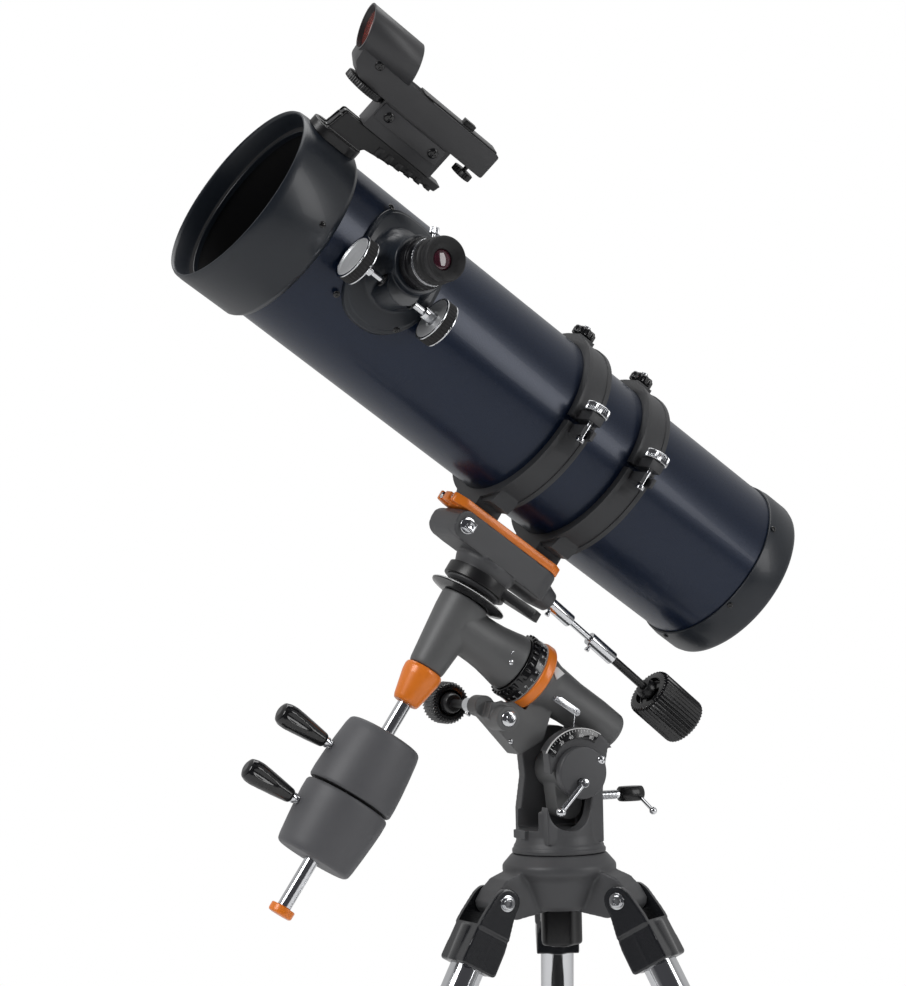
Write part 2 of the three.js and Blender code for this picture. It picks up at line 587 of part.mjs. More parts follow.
// ---------------------------------------------------------------- optical tube
function opticalTube(tube) {
  const focusHole = disc(23, 60, 100, Z, 18).translate(FOCUSER_X, 0, 0);
  focusHole.applyMatrix4(new THREE.Matrix4().makeRotationX(-rad(FOCUSER_ANGLE)));
  const wall = ring(TUBE_R - TUBE_WALL, TUBE_R, TUBE_REAR, TUBE_FRONT, X, 36);
  add(tube, 'main_tube', cut(wall, focusHole), FINISH.tube());

  const seat = TUBE_R + GAP;
  add(tube, 'front_cell', turned([
    [seat, 331], [84.6, 331], [88.8, 337], [89.6, 390], [88.9, 395.4], [87.6, CELL_FRONT],
    [86.2, 395.4], [85.4, 388], [84.8, TUBE_FRONT + 6], [80, TUBE_FRONT + 5],
    [80, TUBE_FRONT + GAP], [seat, TUBE_FRONT + GAP],
  ], X, 36), FINISH.cell());
  const back = REAR_END + 9;
  const rearCell = turned([
    [0, REAR_END + 4], [58, REAR_END + 4], [62, REAR_END], [80, REAR_END], [84.6, REAR_END + 4],
    [85.4, REAR_END + 10], [85.4, -208], [84.4, -200], [seat, -200], [seat, TUBE_REAR - GAP],
    [78, TUBE_REAR - GAP], [78, back], [0, back],
  ], X, 36);
  const mirrorCell = turned([
    [0, back - 2], [12, back - 2], [12, back + 4], [68, back + 4], [68, back + 19],
    [65.6, back + 19], [65.6, back + 9], [0, back + 9],
  ], X, 26);
  add(tube, 'rear_cell', fuse(rearCell, mirrorCell), FINISH.cell());
  const dish = back + 9 + GAP;
  add(tube, 'primary_mirror', turned([
    [0, dish], [65, dish], [65, dish + 13], [44, dish + 11.4], [22, dish + 10.4], [0, dish + 10],
  ], X, 26), FINISH.mirror());

  const spiderX = 330;
  const vanes = [];
  for (let i = 0; i < 3; i += 1) {
    const angle = rad(30 + 120 * i);
    const vane = block([spiderX - 6, -0.7, 10], [spiderX + 6, 0.7, TUBE_R - TUBE_WALL - GAP]);
    vanes.push(vane.applyMatrix4(new THREE.Matrix4().makeRotationX(angle)));
  }
  const hub = disc(17, spiderX - 7, spiderX + 9, X, 18);
  const stem = disc(8, FOCUSER_X, spiderX, X, 16);
  const stalk = disc(18, FOCUSER_X - 16, FOCUSER_X + 34, X, 18);
  const mirrorSide = new THREE.BoxGeometry(120, 80, 80);
  mirrorSide.translate(-60, 0, 0);
  mirrorSide.applyMatrix4(new THREE.Matrix4().makeRotationY(rad(45)));
  mirrorSide.translate(FOCUSER_X, 0, 0);
  mirrorSide.applyMatrix4(new THREE.Matrix4().makeRotationX(-rad(FOCUSER_ANGLE)));
  add(tube, 'spider_and_secondary', fuse(hub, ...vanes, cut(fuse(stem, stalk), mirrorSide)),
    FINISH.black());
}

// ---------------------------------------------------------------- focuser
/** +Z out of the tube along the focuser, +X along the tube. */
function focuser(tube) {
  const base = frame(tube, 'focuser', [FOCUSER_X, 0, 0]);
  base.rotation.x = -rad(FOCUSER_ANGLE);
  const pinion = { y: 26, z: 103 };
  const outline = new THREE.Shape();
  outline.absellipse(0, 0, 42, 56, 0, 2 * Math.PI, false, 0);
  const flange = keep(slab(outline, 'xy', 40, 95, 14), disc(86.5, -60, 60, X, 36));
  const horn = turned([
    [0, 78], [36, 78], [34, 88], [28.5, 97], [26.4, 106], [26, 120], [0, 120],
  ], Z, 22);
  const box = block([-17, 10, 84], [17, 36, 112]);
  const bore = disc(20 + GAP, 50, 130, Z, 22);
  const rackRoom = block([-5, 15, 50], [5, 22.6, 130]);
  const shaftRoom = rod(3 + GAP, [-30, pinion.y, pinion.z], [30, pinion.y, pinion.z]);
  const pinionRoom = rod(6, [-6, pinion.y, pinion.z], [6, pinion.y, pinion.z], 14);
  const body = cut(
    fuse(flange, horn, box), disc(TUBE_R + GAP, -80, 80, X, 36), bore, rackRoom, shaftRoom,
    pinionRoom,
  );
  add(base, 'focuser_base', body, FINISH.cell());

  const slide = frame(base, 'drawtube_slide');
  const barrel = turned([
    [16.2, 58], [20, 58], [20, 120 + GAP], [22.6, 120 + GAP], [22.6, 129], [20.6, 130],
    [20.6, 138], [16.2, 138],
  ], Z, 22);
  const rack = cut(block([-4, 18, 60], [4, 21.6 - GAP, 119]), disc(19, 50, 130, Z, 22));
  add(slide, 'drawtube', fuse(barrel, rack), FINISH.black());

  const eyepiece = turned([
    [0, 112], [15.9, 112], [15.9, 138 + GAP], [19.8, 138 + GAP], [20.4, 141], [20.4, 146],
    [17.6, 148], [17.6, 152], [19.6, 156], [19.8, 160], [18.6, 161], [14.2, 157], [10.4, 155.6],
    [8.6, 153.4], [0, 154.4],
  ], Z, 22);
  add(slide, 'eyepiece', eyepiece, FINISH.black());

  const shaft = frame(base, 'focus_shaft', [0, pinion.y, pinion.z]);
  const knobs = [-1, 1].map((s) => slab(ribbed(21, 20, 0.8), 'yz',
    s > 0 ? 40.5 : -52.5, s > 0 ? 52.5 : -40.5));
  const gear = slab(ribbed(4.4, 8, 0.8), 'yz', -5, 5);
  add(shaft, 'focus_knobs', fuse(disc(3, -45, 45, X, 12), ...knobs, gear), FINISH.chrome());
}

// ---------------------------------------------------------------- red-dot finder
/** +Z out of the tube through the finder, +X along the tube. */
function finder(tube) {
  const seat = frame(tube, 'finder');
  seat.rotation.x = -rad(FINDER_ANGLE);
  const foot = cut(
    fuse(
      slab(link([354, 0], 17, [372, 0], 17), 'xy', 80, 97),
      slab(polygon([[346, 90], [378, 90], [372, 118], [262, 118], [264, 111], [338, 101]]), 'xz',
        -9, 9),
    ),
    disc(90, 200, 400, X, 36),
  );
  add(seat, 'finder_bracket', foot, FINISH.black());

  const clamp = block([277, -12, 118 + GAP], [355, 12, 148]);
  const spine = slab(polygon([
    [241, 147], [372, 147], [388, 148], [398, 157], [400, 170], [398, 184], [388, 186], [372, 172],
    [241, 172],
  ]), 'xz', -13, 13);
  const tab = block([272, -4, 171], [284, 4, 178]);
  const hood = disc(19.6, 346, 414, X, 22).translate(0, 0, 184);
  const slant = new THREE.BoxGeometry(40, 80, 90).translate(-20, 0, 0);
  slant.applyMatrix4(new THREE.Matrix4().makeRotationY(rad(16)));
  slant.translate(352, 0, 184);
  const hoodRoom = disc(17.8, 320, 430, X, 22).translate(0, 0, 184);
  const wheelRoom = rod(2.4, [253, 0, 140], [253, 0, 160]);
  const body = cut(fuse(clamp, spine, tab, cut(hood, slant)), hoodRoom, wheelRoom);
  add(seat, 'finder_body', body, FINISH.black());

  const lens = disc(17.2, -1, 1, X, 18);
  lens.applyMatrix4(new THREE.Matrix4().makeRotationY(rad(-6)));
  add(seat, 'finder_lens', lens.translate(403, 0, 184), FINISH.glass());

  const axis = frame(seat, 'finder_wheel_axis', [253, 0, 0]);
  const wheel = fuse(slab(ribbed(10, 14, 0.8), 'xy', 136, 142), disc(2, 141, 156, Z, 12));
  add(axis, 'finder_height_wheel', wheel, FINISH.black());
}

// ---------------------------------------------------------------- assembly
const telescope = new THREE.Group();

const tripod = frame(telescope, 'tripod', [0, 0, HUB_TOP]);
tripodHub(tripod);
hubKnob(tripod);
for (let number = 1; number <= LEG_COUNT; number += 1) leg(tripod, number);
brace(tripod);

const azimuth = frame(telescope, 'azimuth', [0, 0, HUB_TOP]);
azimuth.rotation.z = rad(AZIMUTH);
azimuthBase(azimuth);
latitudeLock(azimuth);
latitudeAdjuster(azimuth);

const polar = frame(azimuth, 'polar', [PIVOT_X, 0, PIVOT_Z]);
polar.rotation.y = -rad(90 - LATITUDE);
const cross = frame(polar, 'cross', [POLAR_OFFSET, 0, CROSSING]);
polarHousing(cross);
const raSlow = frame(cross, 'ra_slow_axis', [-48, 4, -69]);
raSlow.rotation.x = -Math.PI / 2;
slowMotion(raSlow, 'ra_slow_motion_knob', [[16, 34]], 72, 96, 20);

const ra = frame(cross, 'ra');
ra.rotation.z = -rad(HOUR_ANGLE);
raBody(ra);
counterweightBar(ra);

const decMount = frame(ra, 'dec_mount');
decMount.quaternion.setFromRotationMatrix(
  new THREE.Matrix4().makeBasis(Z, Y.clone().negate(), X),
);
const dec = frame(decMount, 'dec');
dec.rotation.z = rad(TUBE_TURN);
declinationHead(dec);

const tube = frame(dec, 'tube', [0, 0, TUBE_AXIS]);
RING_X.forEach((x, i) => tubeRing(tube, ['front', 'rear'][i], x));
opticalTube(tube);
focuser(tube);
finder(tube);

// The middle of the object's outline stands over the origin, with its feet on z = 0.
telescope.updateMatrixWorld(true);
const outline = new THREE.Box3().setFromObject(telescope, true);
const middle = outline.getCenter(new THREE.Vector3());
telescope.position.set(-middle.x, -middle.y, -outline.min.z);
telescope.updateMatrixWorld(true);

export default telescope;
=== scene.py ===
"""Looks for a reflector telescope on a German equatorial mount and a steel tripod.

Shapes are drawn in millimetres in the frame of the piece they belong to, and placed by that frame.
"""
import json
import math

import bmesh
import bpy
from mathutils import Matrix, Vector


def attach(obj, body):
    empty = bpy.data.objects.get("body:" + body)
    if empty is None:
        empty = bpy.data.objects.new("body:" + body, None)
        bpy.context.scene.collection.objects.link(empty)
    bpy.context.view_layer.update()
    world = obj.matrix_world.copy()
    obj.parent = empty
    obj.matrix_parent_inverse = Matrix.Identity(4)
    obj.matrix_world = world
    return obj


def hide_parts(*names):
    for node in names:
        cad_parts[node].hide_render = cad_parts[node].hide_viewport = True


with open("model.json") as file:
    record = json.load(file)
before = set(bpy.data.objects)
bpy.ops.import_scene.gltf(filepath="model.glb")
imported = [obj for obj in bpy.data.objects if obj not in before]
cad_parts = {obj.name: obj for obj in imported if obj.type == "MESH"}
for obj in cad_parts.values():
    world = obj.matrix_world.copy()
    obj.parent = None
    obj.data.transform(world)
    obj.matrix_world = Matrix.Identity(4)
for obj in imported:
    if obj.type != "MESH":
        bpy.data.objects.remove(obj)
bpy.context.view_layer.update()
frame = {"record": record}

MM = 0.001
JOINTS = {joint["name"]: joint for joint in frame["record"]["behaviour"]["joints"]}


# ---------------------------------------------------------------- frames
def shift(x=0.0, y=0.0, z=0.0):
    return Matrix.Translation((x, y, z))


def spin(degrees, axis):
    return Matrix.Rotation(math.radians(degrees), 4, axis)


AZIMUTH = 24.65
LATITUDE = 33.74
HOUR_ANGLE = 2.07
TUBE_TURN = 5.72
PIVOT = (6, 0, 77)
POLAR_OFFSET = 54.5
CROSSING = 168.4
TUBE_AXIS = 196.1
LEG_TILT = 28.4
BRACE_TILT = 30

hub_top = Vector(JOINTS["azimuth_turn"]["pos_m"]) / MM
TRIPOD = Matrix.Translation(hub_top)
BASE = TRIPOD @ spin(AZIMUTH, "Z")
POLAR = BASE @ shift(*PIVOT) @ spin(LATITUDE - 90, "Y")
CROSS = POLAR @ shift(POLAR_OFFSET, 0, CROSSING)
RA = CROSS @ spin(-HOUR_ANGLE, "Z")
UP_THE_AXIS = Matrix(((0, 0, 1, 0), (0, -1, 0, 0), (1, 0, 0, 0), (0, 0, 0, 1)))
DEC = RA @ UP_THE_AXIS @ spin(TUBE_TURN, "Z")
TUBE = DEC @ shift(0, 0, TUBE_AXIS)
FOCUSER_X = 262
FOCUSER_TURN = -82.5
FINDER_TURN = -28
FOCUSER_TO_TUBE = shift(FOCUSER_X, 0, 0) @ spin(FOCUSER_TURN, "X")
FOCUSER = TUBE @ shift(FOCUSER_X, 0, 0) @ spin(FOCUSER_TURN, "X")
FINDER = TUBE @ spin(FINDER_TURN, "X")
RA_SLOW = CROSS @ shift(-48, 4, -69) @ spin(-90, "X")
DEC_SLOW = DEC @ shift(0, 0, 75) @ spin(-94.5, "Y") @ shift(0, 0, 61)

# ---------------------------------------------------------------- camera
FOCAL_PX = 2755.7
IMAGE_HEIGHT_PX = 986
SENSOR_MM = 36
CAMERA_FROM_HUB = Vector((-91.67, -2570.97, 271.53))
CAMERA_PITCH = 1.42
CAMERA_ROLL = -1.19


def add_camera():
    data = bpy.data.cameras.new("camera")
    data.sensor_width = SENSOR_MM
    data.lens = FOCAL_PX / IMAGE_HEIGHT_PX * SENSOR_MM
    data.clip_end = 100
    camera = bpy.data.objects.new("camera", data)
    place = Matrix.Translation((hub_top + CAMERA_FROM_HUB) * MM)
    camera.matrix_world = place @ spin(90 + CAMERA_PITCH, "X") @ spin(CAMERA_ROLL, "Z")
    bpy.context.collection.objects.link(camera)
    bpy.context.scene.camera = camera


add_camera()


# ---------------------------------------------------------------- solids: (points, faces) in mm
def merge(*solids):
    points, faces = [], []
    for solid_points, solid_faces in solids:
        start = len(points)
        points += solid_points
        faces += [[i + start for i in face] for face in solid_faces]
    return points, faces


def moved(solid, matrix):
    return [tuple(matrix @ Vector(p)) for p in solid[0]], solid[1]


def on_axis(axis, r, angle, h):
    a, b = r * math.cos(angle), r * math.sin(angle)
    return {"X": (h, a, b), "Y": (b, h, a), "Z": (a, b, h)}[axis]


def lathe(profile, axis="Z", segments=96):
    """A turned solid from (radius, height) points; it is a ring when the profile leaves the axis."""
    solid_ends = profile[0][0] == 0 and profile[-1][0] == 0
    rows = profile[1:-1] if solid_ends else profile
    turn = 2 * math.pi / segments
    points = [on_axis(axis, r, turn * i, h) for r, h in rows for i in range(segments)]
    faces = []
    pairs = range(len(rows) - 1) if solid_ends else range(len(rows))
    for row in pairs:
        a, b = row * segments, (row + 1) % len(rows) * segments
        for i in range(segments):
            j = (i + 1) % segments
            faces.append([a + i, a + j, b + j, b + i])
    if solid_ends:
        faces.append([i for i in range(segments)][::-1])
        last = (len(rows) - 1) * segments
        faces.append([last + i for i in range(segments)])
    return points, faces


def disc(r, low, high, axis="Z", segments=64, edge=0.0):
    """A round plate, with its edges rounded when edge is given."""
    if edge == 0:
        return lathe([(0, low), (r, low), (r, high), (0, high)], axis, segments)
    return lathe([(0, low), *rounded([(r, low), (r, high)], edge, (0, low), (0, high)), (0, high)],
                 axis, segments)


def rounded(corners, radius, before, after, steps=4):
    """The corners of an open outline, each turned into a short arc."""
    path = [before, *corners, after]
    out = []
    for i in range(1, len(path) - 1):
        corner = Vector(path[i])
        to_last = Vector(path[i - 1]) - corner
        to_next = Vector(path[i + 1]) - corner
        reach = min(radius, to_last.length / 2.1, to_next.length / 2.1)
        start = corner + to_last.normalized() * reach
        end = corner + to_next.normalized() * reach
        for step in range(steps + 1):
            t = step / steps
            out.append(tuple((1 - t) ** 2 * start + 2 * t * (1 - t) * corner + t ** 2 * end))
    return out


def soft_lathe(profile, radius, axis="Z", segments=96):
    """A turned solid whose corners off the axis are rounded."""
    if profile[0][0] == 0:
        inner = rounded(profile[1:-1], radius, profile[0], profile[-1])
        return lathe([profile[0], *inner, profile[-1]], axis, segments)
    return lathe(rounded(profile, radius, profile[-1], profile[0]), axis, segments)


def ring(inner, outer, low, high, axis="Z", segments=96, edge=0.4):
    corners = [(inner, low), (outer, low), (outer, high), (inner, high)]
    return soft_lathe(corners, edge, axis, segments)


def in_plane(plane, a, b, c):
    return {"xy": (a, b, c), "yz": (c, a, b), "xz": (a, c, b)}[plane]


def prism(outline, plane, low, high):
    count = len(outline)
    points = [in_plane(plane, a, b, c) for c in (low, high) for a, b in outline]
    faces = [list(range(count)), [count + i for i in range(count)][::-1]]
    for i in range(count):
        j = (i + 1) % count
        faces.append([i, count + i, count + j, j])
    return points, faces


def box(low, high):
    outline = [(low[0], low[1]), (high[0], low[1]), (high[0], high[1]), (low[0], high[1])]
    return prism(outline, "xy", low[2], high[2])


def rod(r, start, end, segments=32, end_r=None):
    start, end = Vector(start), Vector(end)
    along = end - start
    turn = along.to_track_quat("Z", "Y").to_matrix().to_4x4()
    far = r if end_r is None else end_r
    profile = [(0, 0), (r, 0), (far, along.length), (0, along.length)]
    return moved(lathe(profile, "Z", segments), Matrix.Translation(start) @ turn)


def ball(r, centre, segments=32):
    rows = segments // 2
    profile = [(r * math.sin(math.pi * i / rows), -r * math.cos(math.pi * i / rows))
               for i in range(1, rows)]
    return moved(lathe([(0, -r), *profile, (0, r)], "Z", segments), shift(*centre))


def arc(r, start, end, steps, centre=(0, 0)):
    turn = [math.radians(start + (end - start) * i / steps) for i in range(steps + 1)]
    return [(centre[0] + r * math.cos(t), centre[1] + r * math.sin(t)) for t in turn]


def link(a, ra, b, rb, steps=24):
    """The outline round two circles and their common tangents."""
    direction = math.degrees(math.atan2(b[1] - a[1], b[0] - a[0]))
    lean = math.degrees(math.acos((ra - rb) / math.dist(a, b)))
    return (arc(ra, direction + lean, direction - lean + 360, steps, a)
            + arc(rb, direction - lean, direction + lean, steps, b))


def knurled(r, ribs, depth, steps=8, power=1.0):
    count = ribs * steps
    outline = []
    for i in range(count):
        angle = 2 * math.pi * i / count
        reach = r - depth * ((1 - math.cos(ribs * angle)) / 2) ** power
        outline.append((reach * math.cos(angle), reach * math.sin(angle)))
    return outline


def tapered_knob(outline, plane, low, high, edge):
    """A prism whose two rims are rolled in by edge."""
    def scaled(amount):
        return [(a * amount, b * amount) for a, b in outline]
    reach = max(math.hypot(a, b) for a, b in outline)
    rows = []
    for step in range(5):
        t = math.radians(90 * step / 4)
        rows.append((1 - edge / reach * (1 - math.sin(t)), low + edge * (1 - math.cos(t))))
    rows += [(amount, low + high - h) for amount, h in rows[::-1]]
    points, faces, count = [], [], len(outline)
    for amount, h in rows:
        points += [in_plane(plane, a, b, h) for a, b in scaled(amount)]
    for row in range(len(rows) - 1):
        for i in range(count):
            j = (i + 1) % count
            faces.append([row * count + i, row * count + j, (row + 1) * count + j,
                          (row + 1) * count + i])
    faces.append(list(range(count))[::-1])
    faces.append([(len(rows) - 1) * count + i for i in range(count)])
    return points, faces


def to_object(solid, name="scratch"):
    mesh = bpy.data.meshes.new(name)
    mesh.from_pydata([Vector(p) for p in solid[0]], [], solid[1])
    shell = bmesh.new()
    shell.from_mesh(mesh)
    bmesh.ops.remove_doubles(shell, verts=shell.verts, dist=1e-4)
    bmesh.ops.recalc_face_normals(shell, faces=shell.faces)
    shell.to_mesh(mesh)
    shell.free()
    made = bpy.data.objects.new(name, mesh)
    bpy.context.collection.objects.link(made)
    return made


def applied(made):
    """The object's mesh with its modifiers worked in; the object itself goes."""
    view = bpy.context.evaluated_depsgraph_get()
    mesh = bpy.data.meshes.new_from_object(made.evaluated_get(view))
    bpy.data.objects.remove(made)
    return mesh


def to_solid(mesh):
    solid = [tuple(v.co) for v in mesh.vertices], [list(f.vertices) for f in mesh.polygons]
    bpy.data.meshes.remove(mesh)
    return solid


def combined(operation, first, others):
    target = to_object(first)
    cutters = [to_object(other) for other in others]
    for cutter in cutters:
        step = target.modifiers.new("step", "BOOLEAN")
        step.operation = operation
        step.solver = "MANIFOLD"
        step.object = cutter
    mesh = applied(target)
    for cutter in cutters:
        bpy.data.objects.remove(cutter)
    return to_solid(mesh)


def fuse(first, *others):
    return combined("UNION", first, others)


def cut(first, *others):
    return combined("DIFFERENCE", first, others)


def keep(first, *others):
    return combined("INTERSECT", first, others)


def cast(solid, voxel=1.0, rounds=6):
    """A fused solid with the soft corners and fillets of a casting."""
    made = to_object(solid)
    remesh = made.modifiers.new("remesh", "REMESH")
    remesh.mode = "VOXEL"
    remesh.voxel_size = voxel
    relax = made.modifiers.new("relax", "SMOOTH")
    relax.factor = 0.6
    relax.iterations = rounds
    return to_solid(applied(made))


SMOOTH_BELOW = math.radians(34)
BEVEL_ABOVE = math.radians(38)


def piece(name, solid, place, body, look, replaces=(), bevel=0.0):
    """Show a solid, drawn in its own frame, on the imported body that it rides."""
    made = to_object(solid, name)
    if bevel:
        edge = made.modifiers.new("edge", "BEVEL")
        edge.width = bevel
        edge.segments = 2
        edge.limit_method = "ANGLE"
        edge.angle_limit = BEVEL_ABOVE
    mesh = applied(made)
    mesh.transform(Matrix.Scale(MM, 4) @ place)
    mesh.name = name
    mesh.shade_smooth()
    mesh.set_sharp_from_angle(angle=SMOOTH_BELOW)
    mesh.materials.clear()
    mesh.materials.append(look)
    shown = bpy.data.objects.new(name, mesh)
    bpy.context.collection.objects.link(shown)
    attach(shown, body)
    if replaces:
        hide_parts(*replaces)


# ---------------------------------------------------------------- materials
RELIEF_DEPTH = 0.0002


def finish(name, color, roughness, metallic=0.0, coat=0.0, grain=600, bump=0.05, mottle=0.12,
           rough_mottle=0.08, streak=(1, 1, 1)):
    """A finish whose colour, roughness and surface vary at the scale of its own grain."""
    made = bpy.data.materials.new(name)
    made.use_nodes = True
    nodes, links = made.node_tree.nodes, made.node_tree.links
    shader = nodes["Principled BSDF"]
    shader.inputs["Metallic"].default_value = metallic
    shader.inputs["Coat Weight"].default_value = coat
    shader.inputs["Coat Roughness"].default_value = 0.06
    place = nodes.new("ShaderNodeTexCoord")
    stretch = nodes.new("ShaderNodeMapping")
    stretch.inputs["Scale"].default_value = streak
    links.new(place.outputs["Object"], stretch.inputs["Vector"])
    fine = nodes.new("ShaderNodeTexNoise")
    fine.inputs["Scale"].default_value = grain
    fine.inputs["Detail"].default_value = 4
    links.new(stretch.outputs["Vector"], fine.inputs["Vector"])
    broad = nodes.new("ShaderNodeTexNoise")
    broad.inputs["Scale"].default_value = 22
    broad.inputs["Detail"].default_value = 6
    links.new(place.outputs["Object"], broad.inputs["Vector"])
    tint = nodes.new("ShaderNodeMix")
    tint.data_type = "RGBA"
    dark = [c * (1 - mottle) for c in color]
    light = [min(1, c * (1 + mottle)) for c in color]
    tint.inputs["A"].default_value = (*dark, 1)
    tint.inputs["B"].default_value = (*light, 1)
    links.new(broad.outputs["Fac"], tint.inputs["Factor"])
    links.new(tint.outputs["Result"], shader.inputs["Base Color"])
    rough = nodes.new("ShaderNodeMapRange")
    rough.inputs["To Min"].default_value = max(0.02, roughness - rough_mottle)
    rough.inputs["To Max"].default_value = min(1, roughness + rough_mottle)
    links.new(fine.outputs["Fac"], rough.inputs["Value"])
    links.new(rough.outputs["Result"], shader.inputs["Roughness"])
    relief = nodes.new("ShaderNodeBump")
    relief.inputs["Strength"].default_value = bump
    relief.inputs["Distance"].default_value = RELIEF_DEPTH
    links.new(fine.outputs["Fac"], relief.inputs["Height"])
    links.new(relief.outputs["Normal"], shader.inputs["Normal"])
    return made


NAVY = finish("navy_gloss_paint", (0.003, 0.011, 0.034), 0.29, 0.25, coat=0.1, grain=2600, bump=0.02,
              mottle=0.1)
CELL = finish("dark_blue_grey_plastic", (0.011, 0.015, 0.022), 0.36, 0.0, coat=0.08, grain=1500,
              bump=0.06)
LINING = finish("flat_black_lining", (0.003, 0.003, 0.004), 0.7, grain=900, bump=0.1)
# Painted shade: the same cast paint as the castings below, made darker for the tube rings so they look
# shaded.
RING_CAST_PAINT_SHADED = finish("ring_cast_paint_painted_shade", (0.044, 0.045, 0.048), 0.46, 0.1, grain=1300, bump=0.16,
                    mottle=0.1)
# Painted light: the same cast paint, made paler for the polar housing and the right ascension body so
# they look lit.
CAST_PAINT_PAINTED_LIGHT = finish("cast_paint_painted_light", (0.125, 0.127, 0.128), 0.46, 0.1, grain=1300, bump=0.16,
                      mottle=0.1)
CASTING = finish("grey_cast_paint", (0.082, 0.083, 0.087), 0.46, 0.1, grain=1300, bump=0.16,
                 mottle=0.1)
GLOSS_CASTING = finish("black_gloss_casting", (0.014, 0.015, 0.018), 0.22, 0.0, coat=0.4,
                       grain=500, bump=0.08)
IRON = finish("grey_painted_iron", (0.112, 0.113, 0.12), 0.5, 0.05, grain=1000, bump=0.22,
              mottle=0.12)
ORANGE = finish("orange_anodised", (0.95, 0.24, 0.02), 0.32, 0.05, coat=0.2, grain=1400, bump=0.03,
                mottle=0.05, streak=(1, 1, 6))
CHROME = finish("chrome", (0.74, 0.75, 0.77), 0.1, 1.0, grain=700, bump=0.02, mottle=0.04,
                rough_mottle=0.04)
SATIN = finish("satin_dark_plastic", (0.05, 0.05, 0.053), 0.42, grain=1500, bump=0.1)
STEEL = finish("brushed_steel", (0.6, 0.61, 0.63), 0.26, 1.0, grain=1800, bump=0.05, mottle=0.08)
# Spun steel for the focus knob dishes, with a painted reflection: a near-white colour and less metal, so
# the dishes look bright as if mirroring a white room.
STEEL_PAINTED_REFLECTION = finish("spun_steel_painted_reflection", (0.82, 0.83, 0.84), 0.4, 0.65, grain=1800, bump=0.05, mottle=0.08)
BLACK = finish("black_plastic", (0.011, 0.011, 0.012), 0.32, grain=1300, bump=0.07)
GLOSS_BLACK = finish("gloss_black_plastic", (0.008, 0.008, 0.009), 0.16, coat=0.3, grain=700,
                     bump=0.04)
MATTE_BLACK = finish("matte_black", (0.014, 0.014, 0.015), 0.55, grain=1600, bump=0.12)
ANODISED = finish("black_anodised", (0.013, 0.013, 0.015), 0.28, 0.6, grain=1500, bump=0.05)
RUBBER = finish("rubber", (0.018, 0.018, 0.019), 0.78, grain=1100, bump=0.25, mottle=0.2)
FELT = finish("ring_felt", (0.016, 0.016, 0.017), 0.9, grain=2400, bump=0.6, mottle=0.25)
MIRROR = finish("mirror_coating", (0.9, 0.91, 0.93), 0.03, 1.0, grain=200, bump=0.0, mottle=0.01,
                rough_mottle=0.01)
WHITE = finish("white_marking", (0.8, 0.8, 0.8), 0.5, grain=900, bump=0.03, mottle=0.04)


def lens_finish(name, color, weight):
    made = finish(name, color, 0.04, grain=90, bump=0.0, mottle=0.15, rough_mottle=0.01, coat=1.0)
    shader = made.node_tree.nodes["Principled BSDF"]
    shader.inputs["Transmission Weight"].default_value = weight
    shader.inputs["IOR"].default_value = 1.5
    return made


PINK_GLASS = lens_finish("coated_eye_lens", (0.1, 0.012, 0.03), 0.3)
RED_GLASS = lens_finish("coated_finder_lens", (0.75, 0.2, 0.16), 0.75)


# ---------------------------------------------------------------- small fasteners
def pan_head(r, h, cross=True):
    """A domed screw head standing on z = 0, with a cross recess."""
    dome = lathe([(0, 0), (r, 0), *[(r * math.cos(math.radians(a)),
                                     h * 0.35 + h * 0.65 * math.sin(math.radians(a)))
                                    for a in (0, 20, 40, 60, 78)], (0, h)], "Z", 32)
    if not cross:
        return dome
    arm, width = r * 0.62, r * 0.13
    return cut(dome, box((-arm, -width, h * 0.45), (arm, width, h * 2)),
               box((-width, -arm, h * 0.45), (width, arm, h * 2)))


def socket_head(r, h):
    head = soft_lathe([(0, 0), (r, 0), (r, h), (0, h)], r * 0.14, "Z", 32)
    return cut(head, prism(arc(r * 0.52, 0, 300, 5), "xy", h * 0.4, h * 2))


def pointing(point, direction):
    """A frame at the point whose Z looks along direction."""
    turn = Vector(direction).to_track_quat("Z", "Y").to_matrix().to_4x4()
    return Matrix.Translation(point) @ turn


# ---------------------------------------------------------------- tripod
BOLT_OUT = 70
BOLT_DOWN = -41
FORK_HALF_GAP = 16.8
FORK_FLOOR = -28
CLAMP_DOWN = -770
BRACE_DOWN = -400
BRACE_INNER = 45
FLOOR_BELOW_BOLT = 759


def tripod_hub():
    crown = soft_lathe([(0, -52), (34, -52), (38, -48), (47, -24), (53, -17), (53, -11),
                        (46, -3), (43.6, -0.4), (0, -0.4)], 1.6)
    arms, bores = [], []
    side = [(20, -14), (50, -15), (66, -21), (76, -30), (82.5, -40), (82, -46), (77.5, -52),
            (68, -55), (56, -58), (20, -52)]
    for number in range(3):
        turn = spin(90 + 120 * number, "Z")
        arms.append(moved(prism(side, "xz", -16, 16), turn))
        bores.append(moved(rod(4, (BOLT_OUT, -25, BOLT_DOWN), (BOLT_OUT, 25, BOLT_DOWN)), turn))
    arch = lathe([(0, -60), (30, -60), (27, -44), (0, -40)])
    solid = cut(cast(fuse(crown, *arms), 1.1, 5), arch, *bores)
    piece("tripod_hub_casting", solid, TRIPOD, "tripod_head", CASTING,
          ["tripod_hub"])

    knob = merge(tapered_knob(knurled(20, 5, 2.6, 16), "xy", -86, -46.5, 3),
                 disc(5, -50, -42.2), disc(9, -88, -85, edge=1))
    piece("hub_knob_grip", knob, TRIPOD, "hub_knob", BLACK, ["hub_lock_knob"])


